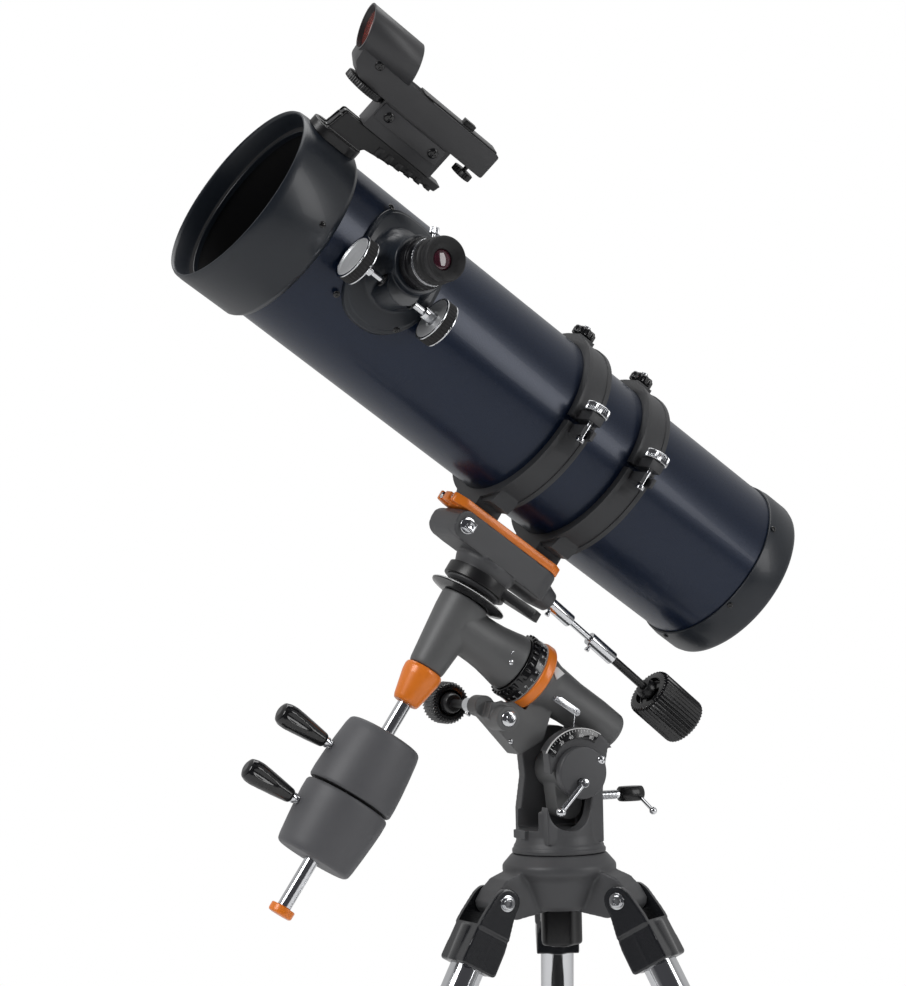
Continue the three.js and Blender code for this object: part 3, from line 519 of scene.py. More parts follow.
def leg(number):
    pivot = (TRIPOD @ spin(90 + 120 * (number - 1), "Z") @ shift(BOLT_OUT, 0, BOLT_DOWN)
             @ spin(-LEG_TILT, "Y"))
    body = f"leg_{number}"
    side = [(-13, 4), (-9, 11), (0, 14), (9, 11), (13.5, 3), (18, -22), (19.5, -66), (-19.5, -66),
            (-19, -38), (-13, -8)]
    shell = prism(rounded(side, 4, side[-1], side[0]), "xz", -22, 22)
    corners = [box((-40, y - 1.6, -71), (45, y + 1.6, -30)) for y in (-22, 22)]
    sleeve = soft_lathe([(0, -66), (20.5, -66), (20.5, -30), (0, -30)], 2)
    solid = cast(fuse(cut(shell, *corners), sleeve), 0.9, 4)
    slot = box((-40, -FORK_HALF_GAP, FORK_FLOOR), (40, FORK_HALF_GAP, 40))
    bore = disc(16.2, -67, -29)
    bolt_room = rod(3.3, (0, -30, 0), (0, 30, 0))
    piece(f"leg_bracket_casting_{number}", cut(solid, slot, bore, bolt_room), pivot, body,
          GLOSS_CASTING, [f"leg_bracket_{number}"])
    heads = [rod(3.2, (0, -24, 0), (0, 24, 0))]
    for y in (-1, 1):
        seat = pointing((0, 21.4 * y, 0), (0, y, 0))
        heads += [moved(disc(7.6, 0, 1.4, edge=0.4), seat), moved(socket_head(5.6, 4.4), seat)]
    piece(f"leg_bolt_{number}", merge(*heads), pivot, body, CHROME)

    piece(f"leg_upper_tube_{number}", ring(14.6, 15.9, -784, -29.5), pivot, body,
          CHROME, [f"leg_tube_{number}"])
    collar = soft_lathe([(15.9, -790), (21, -790), (21, -786), (20.2, -784), (20.2, -756),
                         (21, -754), (21, -750), (15.9, -750)], 0.8)
    guide = ring(13, 21, -790, -784.3)
    clamp_bore = rod(4.2, (0, -40, CLAMP_DOWN), (0, 0, CLAMP_DOWN))
    lug = cut(rod(9, (0, 0, CLAMP_DOWN), (0, -27, CLAMP_DOWN)), disc(15.8, -800, -740), clamp_bore)
    piece(f"leg_clamp_collar_{number}", merge(cut(collar, clamp_bore), guide, lug), pivot, body,
          BLACK, bevel=0.4)
    brace_ring = soft_lathe([(15.9, -412), (20, -412), (20, -388), (15.9, -388)], 1)
    ears = [prism([(-17, -407), (-27, -407), (-31.5, -404), (-32, -400), (-31.5, -396),
                   (-27, -393), (-17, -393)], "xz", 6.5 * s - 2.5, 6.5 * s + 2.5) for s in (-1, 1)]
    piece(f"brace_collar_{number}", merge(brace_ring, *ears), pivot, body, BLACK,
          bevel=0.6)
    rivet = merge(*[moved(disc(3.6, 0, 1.2, edge=0.5), pointing((-26, 9 * y, BRACE_DOWN), (0, y, 0)))
                    for y in (-1, 1)])
    piece(f"brace_rivet_{number}", rivet, pivot, body, STEEL)

    shaft = rod(3.8, (0, -14, CLAMP_DOWN), (0, -30, CLAMP_DOWN))
    grip = moved(tapered_knob(knurled(15, 6, 3, 14), "xz", -46, -28, 2), shift(0, 0, CLAMP_DOWN))
    piece(f"leg_clamp_grip_{number}", merge(shaft, grip), pivot, f"leg_knob_{number}",
          BLACK, [f"leg_clamp_knob_{number}"])

    reach = FLOOR_BELOW_BOLT / math.cos(math.radians(LEG_TILT))
    piece(f"leg_lower_tube_{number}", ring(11.5, 12.7, 22 - reach, -130), pivot,
          f"lower_leg_{number}", CHROME, [f"lower_leg_{number}"])
    profile = [(0, -reach - 20), (13, -reach - 18), (18.5, -reach - 2), (18.5, -reach + 8)]
    for rib in range(4):
        z = 11 + 8 * rib - reach
        profile += [(17.4 - 0.3 * rib, z), (16.2 - 0.3 * rib, z + 1.4), (16.2 - 0.3 * rib, z + 3),
                    (17.2 - 0.3 * rib, z + 4.4)]
    profile += [(16, -reach + 44), (13, -reach + 44), (13, -reach + 21.7), (0, -reach + 21.7)]
    ground = moved(box((-80, -80, -60), (80, 80, 0)),
                   shift(0, 0, -reach) @ spin(LEG_TILT, "Y"))
    piece(f"leg_rubber_foot_{number}", cut(lathe(profile), ground), pivot, f"lower_leg_{number}",
          RUBBER, [f"leg_foot_{number}"], bevel=0.4)


def brace_geometry():
    """The brace arm's outer pivot seen from the hub's axis, the arm's length and the hub's height."""
    across = math.cos(math.radians(LEG_TILT))
    down = math.sin(math.radians(LEG_TILT))
    out = BOLT_OUT - BRACE_DOWN * down - 26 * across
    low = BOLT_DOWN + BRACE_DOWN * across - 26 * down
    length = (out - BRACE_INNER) / math.cos(math.radians(BRACE_TILT))
    return length, low + length * math.sin(math.radians(BRACE_TILT))


def brace():
    length, height = brace_geometry()
    for number in (1, 2, 3):
        hinge = (TRIPOD @ spin(90 + 120 * (number - 1), "Z") @ shift(BOLT_OUT, 0, BOLT_DOWN)
                 @ spin(-LEG_TILT, "Y") @ shift(-26, 0, BRACE_DOWN) @ spin(LEG_TILT + BRACE_TILT, "Y"))
        strip = prism(link((0, 0), 5.5, (-length, 0), 5.5), "xz", -3.6, 3.6)
        groove = [prism(link((-22, 0), 2.2, (22 - length, 0), 2.2), "xz", low, high)
                  for low, high in ((-5, -2.6), (2.6, 5))]
        piece(f"brace_strip_{number}", cut(strip, *groove), hinge, f"brace_arm_{number}",
              MATTE_BLACK, [f"brace_arm_{number}"], bevel=0.5)

    def outline(radius):
        points = []
        for i in range(3):
            angle = 150 + 120 * i
            centre = (99 * math.cos(math.radians(angle)), 99 * math.sin(math.radians(angle)))
            points += arc(radius, angle - 60, angle + 60, 14, centre)
        return points
    wall = cut(prism(outline(19), "xy", 24, 36), prism(outline(15.5), "xy", 28, 40))
    holes = []
    for i in range(3):
        angle = math.radians(150 + 120 * i)
        holes.append(shift(78 * math.cos(angle), 78 * math.sin(angle), 28))
    rims = [moved(ring(16.4, 18.6, 0, 1.6), hole) for hole in holes]
    post = merge(disc(13, -9, 27.4, edge=1), disc(9, 26, 31, edge=1.5))
    cheeks = []
    for i in range(3):
        for low in (-7.4, 4.4):
            cheek = prism([(8, -9), (48, -8), (53, 0), (48, 8), (8, 14)], "xz", low, low + 3)
            cheeks.append(moved(cheek, spin(90 + 120 * i, "Z")))
    piece("tray_pan", merge(wall, post, *rims, *cheeks), TRIPOD @ shift(0, 0, height), "tray",
          MATTE_BLACK, ["accessory_tray"], bevel=0.6)


# ---------------------------------------------------------------- azimuth base and latitude lock
SCALE_ZERO = 145
SCALE_STEP = 19.3


def azimuth_base():
    foot = soft_lathe([(0, 0), (43.6, 0), (43.6, 3.6), (42, 4.6), (42, 7), (40.5, 8.6), (38.5, 16),
                       (38, 40), (0, 40)], 0.9)
    cheek = [(-28, 10), (-28, 41), (-23.5, 70), (-26, 96), (36, 96), (31, 70), (30, 54), (30, 10)]
    trunk = prism(cheek, "xz", -34, 34)
    top = moved(disc(39, -34, 34, "Y"), shift(PIVOT[0], 0, PIVOT[2]))
    lobe = moved(disc(27, -34, 34, "Y"), shift(PIVOT[0], 0, PIVOT[2]))
    scale_room = keep(top, box((-60, -40, 96), (60, 40, 140)))
    wall = keep(disc(38, 0, 58), box((24, -34, 0), (60, 34, 58)))
    tab = box((-41, -12, 14), (-26, 12, 41))
    slot = fuse(box((-60, -21, 22), (29, 21, 160)), box((0, -21, 58), (60, 21, 160)))
    window = prism(link((-5.5, 43), 21, (-5.5, 58), 24), "xz", -45, -20)
    casting = cast(cut(fuse(trunk, lobe, scale_room, wall, tab, foot), slot, window), 0.8, 4)
    floor = box((-60, -60, -10), (60, 60, 0.15))
    solid = cut(casting, floor, moved(disc(6.4, -45, 36, "Y"), shift(PIVOT[0], 0, PIVOT[2])),
                rod(4.4, (20, 0, 49.5), (60, 0, 49.5)))
    piece("azimuth_casting", solid, BASE, "azimuth_base", CASTING,
          ["azimuth_base"])
    collar = soft_lathe([(39, 0.2), (43.6, 0.2), (43.6, 3.4), (42.4, 4.4), (39, 4.4)], 0.6)
    piece("azimuth_collar", collar, BASE, "azimuth_base", CASTING)

    centre = shift(PIVOT[0], 0, PIVOT[2] - 2)
    boss = soft_lathe([(0, -42), (23.6, -42), (24.5, -40), (24.5, -33), (0, -33)], 1.4, "Y")
    lock = rod(4.4, (PIVOT[0] - 2.5, -50, PIVOT[2] - 11), (PIVOT[0] - 2.5, -30, PIVOT[2] - 11))
    piece("latitude_boss", cut(moved(boss, centre), lock), BASE, "azimuth_base",
          CASTING)
    screws = merge(moved(pan_head(4.2, 3), pointing((25, -40.8, 86), (0, -1, 0))),
                   moved(socket_head(4.6, 3), pointing((6, 34, 77), (0, 1, 0))))
    piece("latitude_boss_screws", screws, BASE, "azimuth_base", CHROME)

    plate = [*arc(38.2, 57, 153, 40), *arc(29, 153, 57, 40)]
    scale_place = BASE @ shift(*PIVOT)
    piece("latitude_scale", prism(plate, "xz", -35.6, -33.6), scale_place, "azimuth_base",
          GLOSS_BLACK, bevel=0.3)
    rim = [*arc(38.9, 56, 154, 40), *arc(38.1, 154, 56, 40)]
    marks = [prism(rim, "xz", -36.0, -34.5)]
    for i in range(17):
        angle = math.radians(SCALE_ZERO - SCALE_STEP / 4 * i)
        length = 3.4 if i % 4 == 0 else 1.9
        ray = Vector((math.cos(angle), math.sin(angle)))
        wide = Vector((-ray.y, ray.x)) * (0.26 if i % 4 == 0 else 0.17)
        inner, outer = ray * (37.4 - length), ray * 37.4
        corners = [inner - wide, outer - wide, outer + wide, inner + wide]
        marks.append(prism([tuple(c) for c in corners], "xz", -35.8, -35.4))
    for i in range(5):
        marks.append(lettering(str(20 * i), 4.6, 31.6, SCALE_ZERO - SCALE_STEP * i, -35.55))
    piece("latitude_scale_marks", merge(*marks), scale_place, "azimuth_base",
          WHITE)

    lever = PIVOT[0] - 2.5, 0, PIVOT[2] - 11
    arm = merge(soft_lathe([(0, -50), (4, -50), (4, -40), (0, -40)], 0.6, "Y"),
                rod(2.7, (0, -46.5, 0), (-25, -49, -25)), ball(4.6, (-25, -49, -25)))
    piece("latitude_lever_arm", arm, BASE @ shift(*lever), "latitude_lever",
          CHROME, ["latitude_lock_lever"])
    bar = moved(merge(rod(1.8, (83, 0, 9), (83, 0, -34)), ball(3.6, (83, 0, -35))), spin(-66, "X"))
    bolt = merge(rod(4, (31, 0, 0), (70, 0, 0)), thread(4, 2.6, 31, 60, 1.5, "X"), bar)
    adjuster = BASE @ shift(0, 0, 49.5)
    piece("latitude_bolt", bolt, adjuster, "latitude_adjuster", CHROME,
          ["latitude_adjuster"])
    grip = soft_lathe([(0, 64), (6, 64), (8.4, 67), (9.6, 74), (9.3, 82), (7, 88.5), (0, 90)], 1.5,
                      "X")
    flats = [box((60, -12, 6.8), (95, 12, 14)), box((60, -12, -14), (95, 12, -6.8))]
    piece("latitude_grip", cut(grip, *flats), adjuster, "latitude_adjuster",
          BLACK, bevel=1.0)


def thread(r, pitch_r, low, high, pitch, axis):
    """Fine rings that stand for a screw thread."""
    profile = [(pitch_r, low)]
    z = low
    while z < high:
        profile += [(r + 0.35, z + pitch * 0.35), (r - 0.15, z + pitch * 0.85)]
        z += pitch
    profile += [(pitch_r, z)]
    return lathe(profile, axis, 32)


def lettering(text, size, radius, degrees, depth):
    """A dial's figure, facing -Y, set upright along a circle in the xz plane."""
    curve = bpy.data.curves.new("figure", "FONT")
    curve.body = text
    curve.size = size
    curve.align_x = "CENTER"
    curve.align_y = "CENTER"
    curve.extrude = 0.15
    curve.resolution_u = 2
    made = bpy.data.objects.new("figure", curve)
    bpy.context.collection.objects.link(made)
    mesh = applied(made)
    angle = math.radians(degrees)
    place = (shift(radius * math.cos(angle), depth, radius * math.sin(angle))
             @ spin(90 - degrees, "Y") @ spin(90, "X"))
    return moved(to_solid(mesh), place)


# ---------------------------------------------------------------- polar housing
def polar_housing():
    barrel = soft_lathe([(0, -196), (15.5, -196), (18, -193), (20, -170), (21, -140), (24, -113),
                         (27, -104), (27, -100.3), (0, -100.3)], 1.2)
    pivot = (-POLAR_OFFSET, -CROSSING)
    tail = (pivot[0] - 34 * math.cos(math.radians(LATITUDE)),
            pivot[1] - 34 * math.sin(math.radians(LATITUDE)))
    neck = prism(link((-8, -168), 14, pivot, 17), "xz", -12, 12)
    heel = prism(link(pivot, 17, tail, 13), "xz", -12, 12)
    drum = moved(disc(20, -20.5, 20.5, "Y"), shift(pivot[0], 0, pivot[1]))
    rib = prism([(-14, -102), (-14, -124), (-46, -132), (-70, -118), (-58, -72), (-44, -68),
                 (-36, -82)], "xz", -12, 14)
    near_lobe = moved(disc(11.5, -27, 2, "Y"), shift(-51, 0, -84))
    far_lobe = moved(disc(10, 0, 19, "Y"), shift(-48, 0, -69))
    casting = cut(fuse(rib, near_lobe, far_lobe), disc(34.2, -101, -60))
    solid = cast(fuse(barrel, neck, heel, drum, casting), 0.8, 4)
    flat = box((-60, -60, -100.2), (60, 60, -90))
    solid = cut(solid, keep(flat, disc(34, -110, -80)), disc(10, -188, -90),
                rod(4.4, (-48, 3, -69), (-48, 30, -69)))
    pin = moved(disc(6, -38, 38, "Y"), shift(pivot[0], 0, pivot[1]))
    # The polar housing wears the cast paint lightened as painted light.
    piece("polar_casting", merge(solid, pin), CROSS, "polar_housing",
          CAST_PAINT_PAINTED_LIGHT, ["polar_housing"])

    bits = [
        moved(pan_head(7.6, 3.4, False), pointing((-50.7, -26.6, -84.4), (0, -1, 0))),
        moved(socket_head(4.4, 2.6), pointing((-50.7, -29.4, -84.4), (0, -1, 0))),
        moved(pan_head(3.1, 2.4), pointing((-3, -20.5, -103), (0, -1, 0.1))),
        moved(pan_head(2.4, 1.8), pointing((-64, -11.6, -104), (0, -1, 0))),
    ]
    piece("polar_screws", merge(*bits), CROSS, "polar_housing", CHROME)
    index = prism(link((-8.4, -118), 3.4, (-8.4, -143), 3.4), "xz", -22.4, -20.6)
    needle = prism([(-9.2, -140), (-7.4, -140), (-27, -150.5), (-28, -150)], "xz", -22.8, -22.2)
    heads = [moved(pan_head(2, 1.2), pointing((-8.4, -22.2, z), (0, -1, 0))) for z in (-118, -143)]
    piece("latitude_index", merge(index, needle, *heads), CROSS, "polar_housing",
          STEEL, bevel=0.2)
    pointer = prism([(11, -98.5), (15.5, -101), (14, -111), (5, -107)], "xz", -27.4, -23.6)
    piece("hour_pointer", pointer, CROSS, "polar_housing", WHITE, bevel=0.4)


def slow_motion(name, body, place, couplings, knob, reach, replaces):
    """Chrome couplings joined by a dark shaft, and a fluted knob at the end."""
    start, end, radius = knob
    first, last = couplings[0], couplings[-1]
    steel = [rod(3.2, (0, 0, 0), (0, 0, last[0] + 2))]
    for low, high in couplings:
        sleeve = soft_lathe([(0, low), (6.5, low), (6.5, high), (0, high)], 0.9)
        steel.append(cut(sleeve, box((4.6, -1.1, low + 4), (9, 1.1, high - 4))))
        steel.append(rod(1.7, (-5.5, 0, low + 5), (-9.6, 0, low + 5)))
        steel.append(moved(disc(2.4, 0, 2.6, edge=0.5), pointing((-8.6, 0, low + 5), (-1, 0, 0))))
    piece(f"{name}_couplings", merge(*steel), place, body, CHROME)
    shaft = [rod(4, (0, 0, last[1] - 3), (0, 0, start + 6)),
             soft_lathe([(0, start - 8), (8, start - 8), (9.4, start - 5), (10.6, start + 1),
                         (0, start + 1)], 1)]
    piece(f"{name}_shaft", merge(*shaft), place, body, BLACK)
    grip = tapered_knob(knurled(radius, reach, 1.5, 8, 0.6), "xy", start, end, 3.5)
    recess = soft_lathe([(0, start - 4), (radius * 0.66, start - 4), (radius * 0.6, start + 5),
                         (0, start + 5)], 1)
    hole = soft_lathe([(0, end - 6), (radius * 0.4, end - 6), (radius * 0.46, end + 3),
                       (0, end + 3)], 1)
    piece(f"{name}_grip", cut(grip, recess, hole), place, body, GLOSS_BLACK,
          replaces)


# ---------------------------------------------------------------- right ascension
def right_ascension():
    dec_barrel = lathe([(0, -50.3), (16, -50.3), (16.6, -49.6), (17.4, -46), (20, -20), (22.8, 8),
                        (23.4, 22), (22.6, 23), (0, 23)], "X")
    ra_barrel = lathe([(0, -71.7), (27.2, -71.7), (28, -70.8), (27.4, -66), (25.6, -57), (23.6, -45),
                       (22.7, -34), (22.4, -4), (0, 6)])
    solid = cut(cast(fuse(dec_barrel, ra_barrel), 0.8, 10), rod(8.4, (-40, 0, 0), (30, 0, 0)))
    # The right ascension body wears the cast paint lightened as painted light.
    piece("ra_casting", solid, RA, "ra_assembly", CAST_PAINT_PAINTED_LIGHT,
          ["ra_body"])
    screws = [moved(pan_head(3, 2.2), pointing((-4.5, -24.4, -60), (0, -1, -0.2))),
              moved(disc(3.4, 0, 0.7, edge=0.3), pointing((2.5, -24.2, -58), (0, -1, -0.2)))]
    piece("ra_screws", merge(*screws), RA, "ra_assembly", CHROME)
    circle = soft_lathe([(10, -88.7), (31.4, -88.7), (31.8, -87), (31.8, -80), (30.4, -76.6),
                         (29.5, -72), (10, -72)], 0.5)
    ridges = [moved(box((29.2, -1.3, -79), (32.2, 1.3, -73)), spin(12 * i, "Z")) for i in range(30)]
    piece("ra_circle", merge(circle, *ridges), RA, "ra_assembly", GLOSS_BLACK,
          ["ra_setting_circle"], bevel=0.4)
    marks = []
    for i in range(144):
        length = 3.2 if i % 6 == 0 else 1.6
        marks.append(moved(box((31.5, -0.16, -88.5), (32.05, 0.16, -88.5 + length)),
                           spin(2.5 * i, "Z")))
    for i in range(24):
        figure = lettering(str(i), 2.6, 0, 90, 0)
        marks.append(moved(figure, spin(15 * i, "Z") @ shift(31.85, 0, -83.1)
                           @ spin(90, "Z") @ spin(180, "Y")))
    piece("ra_scale_marks", merge(*marks), RA, "ra_assembly", WHITE)
    clutch = soft_lathe([(10, -100), (31, -100), (33.6, -97.4), (33.6, -91), (32.4, -89),
                         (10, -89)], 1.0)
    piece("ra_clutch", clutch, RA, "ra_assembly", ORANGE, ["ra_clutch_ring"])


WEIGHT_PLACES = (("upper", -156), ("lower", -214))


def counterweights():
    cone = soft_lathe([(6.9, -87), (11.4, -87), (13, -84), (18.2, -60), (18.6, -54), (17.4, -50.7),
                       (6.9, -50.7)], 1.4, "X")
    piece("cone_nut", cone, RA, "ra_assembly", ORANGE, ["bar_cone_nut"])
    bar = soft_lathe([(0, -300), (6.5, -300), (6.5, -50.6), (0, -50.6)], 0.5, "X")
    piece("weight_bar", bar, RA, "ra_assembly", CHROME, ["counterweight_bar"])
    stop = soft_lathe([(0, -308.5), (10.2, -308.5), (11.6, -307.2), (11.6, -300.4),
                       (0, -300.4)], 0.9, "X")
    piece("bar_stop", stop, RA, "ra_assembly", ORANGE, ["bar_end_stop"])
    profiles = {
        "upper": [(7, -186.4), (40.3, -186.4), (41.6, -184.6), (41.7, -176), (40.9, -162),
                  (39.4, -146), (37.4, -129), (36, -123.4), (33.6, -121.5), (7, -121.5)],
        "lower": [(7, -252), (33.8, -252), (36.4, -250), (37.5, -245), (39.4, -228), (40.9, -212),
                  (41.7, -200), (41.6, -191), (40.2, -188.8), (7, -188.8)],
    }
    for place, x in WEIGHT_PLACES:
        body = f"{place}_weight"
        weight = cut(soft_lathe(profiles[place], 1.6, "X", 144), rod(3.6, (x, 0, 0), (x, 0, 60)))
        piece(f"{place}_weight_barrel", weight, RA, body, IRON,
              [f"{place}_counterweight"])
        axis = RA @ shift(x, 0, 0)
        stud = merge(disc(3.2, 8, 50), thread(3.1, 2, 41, 49, 1.2, "Z"), disc(5, 44, 49.4, edge=0.8))
        piece(f"{place}_weight_stud", stud, axis, f"{place}_weight_knob", CHROME)
        drop = lathe([(0, 48), (6, 48), (6.9, 50), (7.6, 55), (9.4, 68), (11.1, 80), (11.8, 87),
                      (11.3, 93), (9.2, 97.6), (5.4, 99.6), (0, 100)], "Z", 48)
        flutes = [moved(rod(5.2, (13.6, 0, 46), (16.4, 0, 108), end_r=6.0), spin(90 * i, "Z"))
                  for i in range(4)]
        grip = cast(cut(drop, *flutes), 0.6, 6)
        piece(f"{place}_weight_grip", grip, axis, f"{place}_weight_knob",
              GLOSS_BLACK, [f"{place}_weight_knob"])


# ---------------------------------------------------------------- declination head
def declination_head():
    body = "tube_assembly"
    circle = lathe([(0, -38), (8, -38), (8, 23.4), (27.6, 23.4), (28.4, 23.8), (37, 26.2),
                    (37.4, 26.8), (37.4, 27.8), (36.8, 28.3), (33, 29.2), (14, 30.5), (14, 33),
                    (0, 33)])
    piece("dec_circle", circle, DEC, body, GLOSS_BLACK, ["dec_setting_circle"])
    marks = [moved(box((34.2 - (1.4 if i % 3 == 0 else 0), -0.16, 28.2),
                       (36.3, 0.16, 28.75)), spin(5 * i, "Z")) for i in range(72)]
    edge_line = ring(37.0, 37.55, 27.3, 28.0, edge=0.1)
    piece("dec_scale_marks", merge(edge_line, *marks), DEC, body, WHITE)

    hub = lathe([(0, 33.3), (24, 33.3), (27, 36), (27, 50), (30, 58), (30, 62), (0, 62)])
    oval = prism(link((38, 0), 25, (-44, 0), 22), "xy", 60, 88)
    boss = moved(disc(13.5, -25, 25, "Y"), shift(50, 0, 75))
    trim = box((-80, -30, 50), (90, 30, 88))
    turn = spin(-94.5, "Y")
    nose = moved(lathe([(0, 30), (17, 30), (14.5, 58), (10.4, 74), (10, 76), (0, 76)]),
                 shift(0, 0, 75) @ turn)
    room = moved(disc(4.4, 60, 80), shift(0, 0, 75) @ turn)
    recess = prism(link((34, 0), 17, (-40, 0), 14), "xy", 50, 63)
    side = rounded([(-66, 61), (62, 61), (63.6, 88.5), (-70, 88.5)], 13, (-70, 88.5), (-66, 61))
    profile = prism(side, "xz", -30, 30)
    body_block = keep(fuse(oval, boss), profile)
    solid = cast(fuse(hub, keep(fuse(body_block, nose), trim)), 0.8, 5)
    piece("dec_casting", cut(solid, room), DEC, body, CASTING,
          ["declination_head"])
    bolt = merge(moved(disc(7.8, 0, 3, edge=0.8), pointing((50, 23.6, 75), (0, 1, 0))),
                 cut(box((45.6, 26, 70.6), (54.4, 34, 79.4)),
                     box((48, 32, 73), (52, 36, 77))))
    piece("dec_square_bolt", bolt, DEC, body, CHROME, bevel=0.5)
    outline = [(72, -16), (72, 16), (60, 21), (-52, 21), (-62, 14), (-62, -14), (-52, -21),
               (60, -21)]
    notches = [box((60, y - 3, 80), (80, y + 3, 100)) for y in (-8, 8)]
    plate = cut(prism(rounded(outline, 3, outline[-1], outline[0]), "xy", 88.3, 97), *notches)
    piece("saddle", plate, DEC, body, ORANGE, ["saddle_plate"], bevel=0.9)
    screws = [moved(pan_head(3.2, 2.2), pointing((70, y, 92.6), (1, 0, 0))) for y in (11.4, -11.4)]
    piece("saddle_screws", merge(*screws), DEC, body, CHROME)

    clamp = soft_lathe([(27.3, 37.5), (31, 37.5), (31, 49), (27.3, 49)], 0.8)
    wing = cut(prism(rounded([(-8, 26), (-52, 33), (-60, 30), (-60, 25), (-24, 14)], 2.4,
                             (-24, 14), (-8, 26)), "xy", 39.5, 48.5), disc(27.4, 30, 60))
    piece("dec_lever_wing", merge(clamp, wing), DEC, "dec_lever", BLACK,
          ["dec_lock_lever"], bevel=1.0)


# ---------------------------------------------------------------- tube rings
RING_INNER = 82.3
RING_OUTER = 91
SCREW_Y = 103
HINGE_Y = -97
RING_HALF = 14
FELT_INNER = 82.05
FELT_OUTER = 82.55


def half_ring(inner, outer, start, end, half, steps=72):
    return prism([*arc(outer, start, end, steps), *arc(inner, end, start, steps)], "yz", -half, half)


def channelled(start, end):
    """Half a ring with a raised rib along each edge, as the cast ones have."""
    band = half_ring(RING_INNER + 0.9, RING_OUTER - 1.2, start, end, RING_HALF - 2)
    ribs = [moved(half_ring(RING_INNER, RING_OUTER, start, end, 2.2), shift(x, 0, 0))
            for x in (2.2 - RING_HALF, RING_HALF - 2.2)]
    return [band, *ribs]


def tube_ring(name, x):
    seat = TUBE @ shift(x, 0, 0)
    body = "tube_assembly"
    half = RING_HALF
    foot = fuse(box((-half, -16, 97.3 - TUBE_AXIS), (half, 16, -86)),
                prism([(-34, -92), (34, -92), (44, -77), (-44, -77)], "yz", -half + 3, half - 3))
    ear = box((-7, 86, -12), (7, 111, -3))
    slot = box((-3.4, SCREW_Y - 3.6, -20), (3.4, 120, 0))
    knuckles = []
    for low, high in ((-half, -5), (5, half)):
        knuckles.append(moved(disc(5.5, low, high, "X"), shift(0, HINGE_Y, 0)))
        knuckles.append(box((low, HINGE_Y, -9), (high, -86, -0.8)))
    bore = disc(RING_INNER, -60, 60, "X", 192)
    lower = cut(fuse(*channelled(182, 358), foot, ear, *knuckles), slot, bore)
    # The lower ring half wears the cast paint darkened as painted shade.
    piece(f"{name}_ring_cradle", lower, seat, body, RING_CAST_PAINT_SHADED,
          [f"{name}_ring_lower"], bevel=0.7)
    pin = moved(merge(disc(1.9, -half - 0.6, half + 0.6, "X"), disc(3.2, -half - 1.6, -half, "X"),
                      disc(3.2, half, half + 1.6, "X")), shift(0, HINGE_Y, 0))
    piece(f"{name}_ring_pin", pin, seat, body, STEEL)
    lining = half_ring(FELT_INNER, FELT_OUTER, 185, 355, half - 1.4)
    piece(f"{name}_cradle_felt", lining, seat, body, FELT)

    cap = f"{name}_ring_cap"
    upper_ear = box((-7, 86, 3), (7, 111, 12))
    knuckle = fuse(moved(disc(5.5, -4.7, 4.7, "X"), shift(0, HINGE_Y, 0)),
                   box((-4.7, HINGE_Y, 0.8), (4.7, -86, 9)))
    pin_room = moved(disc(2.2, -6, 6, "X"), shift(0, HINGE_Y, 0))
    pad = box((-9, -12, RING_OUTER - 4), (9, 12, RING_OUTER + 3))
    upper = cut(fuse(*channelled(2, 178), upper_ear, knuckle, pad),
                rod(2.9, (0, SCREW_Y, -5), (0, SCREW_Y, 30)), bore, pin_room)
    # The upper ring half wears the cast paint darkened as painted shade.
    piece(f"{name}_ring_arch", upper, seat, cap, RING_CAST_PAINT_SHADED,
          [f"{name}_ring_upper"], bevel=0.7)
    felt = half_ring(FELT_INNER, FELT_OUTER, 5, 175, half - 1.4)
    piece(f"{name}_arch_felt", felt, seat, cap, FELT)
    top = merge(disc(4, RING_OUTER + 2, RING_OUTER + 6),
                tapered_knob(knurled(11.5, 9, 1.6, 10), "xy", RING_OUTER + 4.4, RING_OUTER + 12.5,
                             2))
    piece(f"{name}_ring_top_knob", top, seat, cap, GLOSS_BLACK)
    stud = merge(disc(3.2, RING_OUTER + 12, RING_OUTER + 16.4, edge=0.5),
                 thread(3, 2, RING_OUTER + 12, RING_OUTER + 15.6, 1.1, "Z"))
    piece(f"{name}_ring_top_stud", stud, seat, cap, CHROME)

    screw = merge(disc(2.5, -17, 14), disc(4.2, -17.5, -13.4, edge=0.6),
                  tapered_knob(knurled(11.5, 40, 0.7, 6), "xy", 12.3, 20.6, 1),
                  disc(6.4, 20, 22, edge=0.7))
    piece(f"{name}_ring_thumb_nut", screw, seat @ shift(0, SCREW_Y, 0), f"{name}_ring_screw",
          CHROME, [f"{name}_ring_knob"])


# ---------------------------------------------------------------- optical tube
TUBE_BACK = -203
TUBE_FRONT = 372


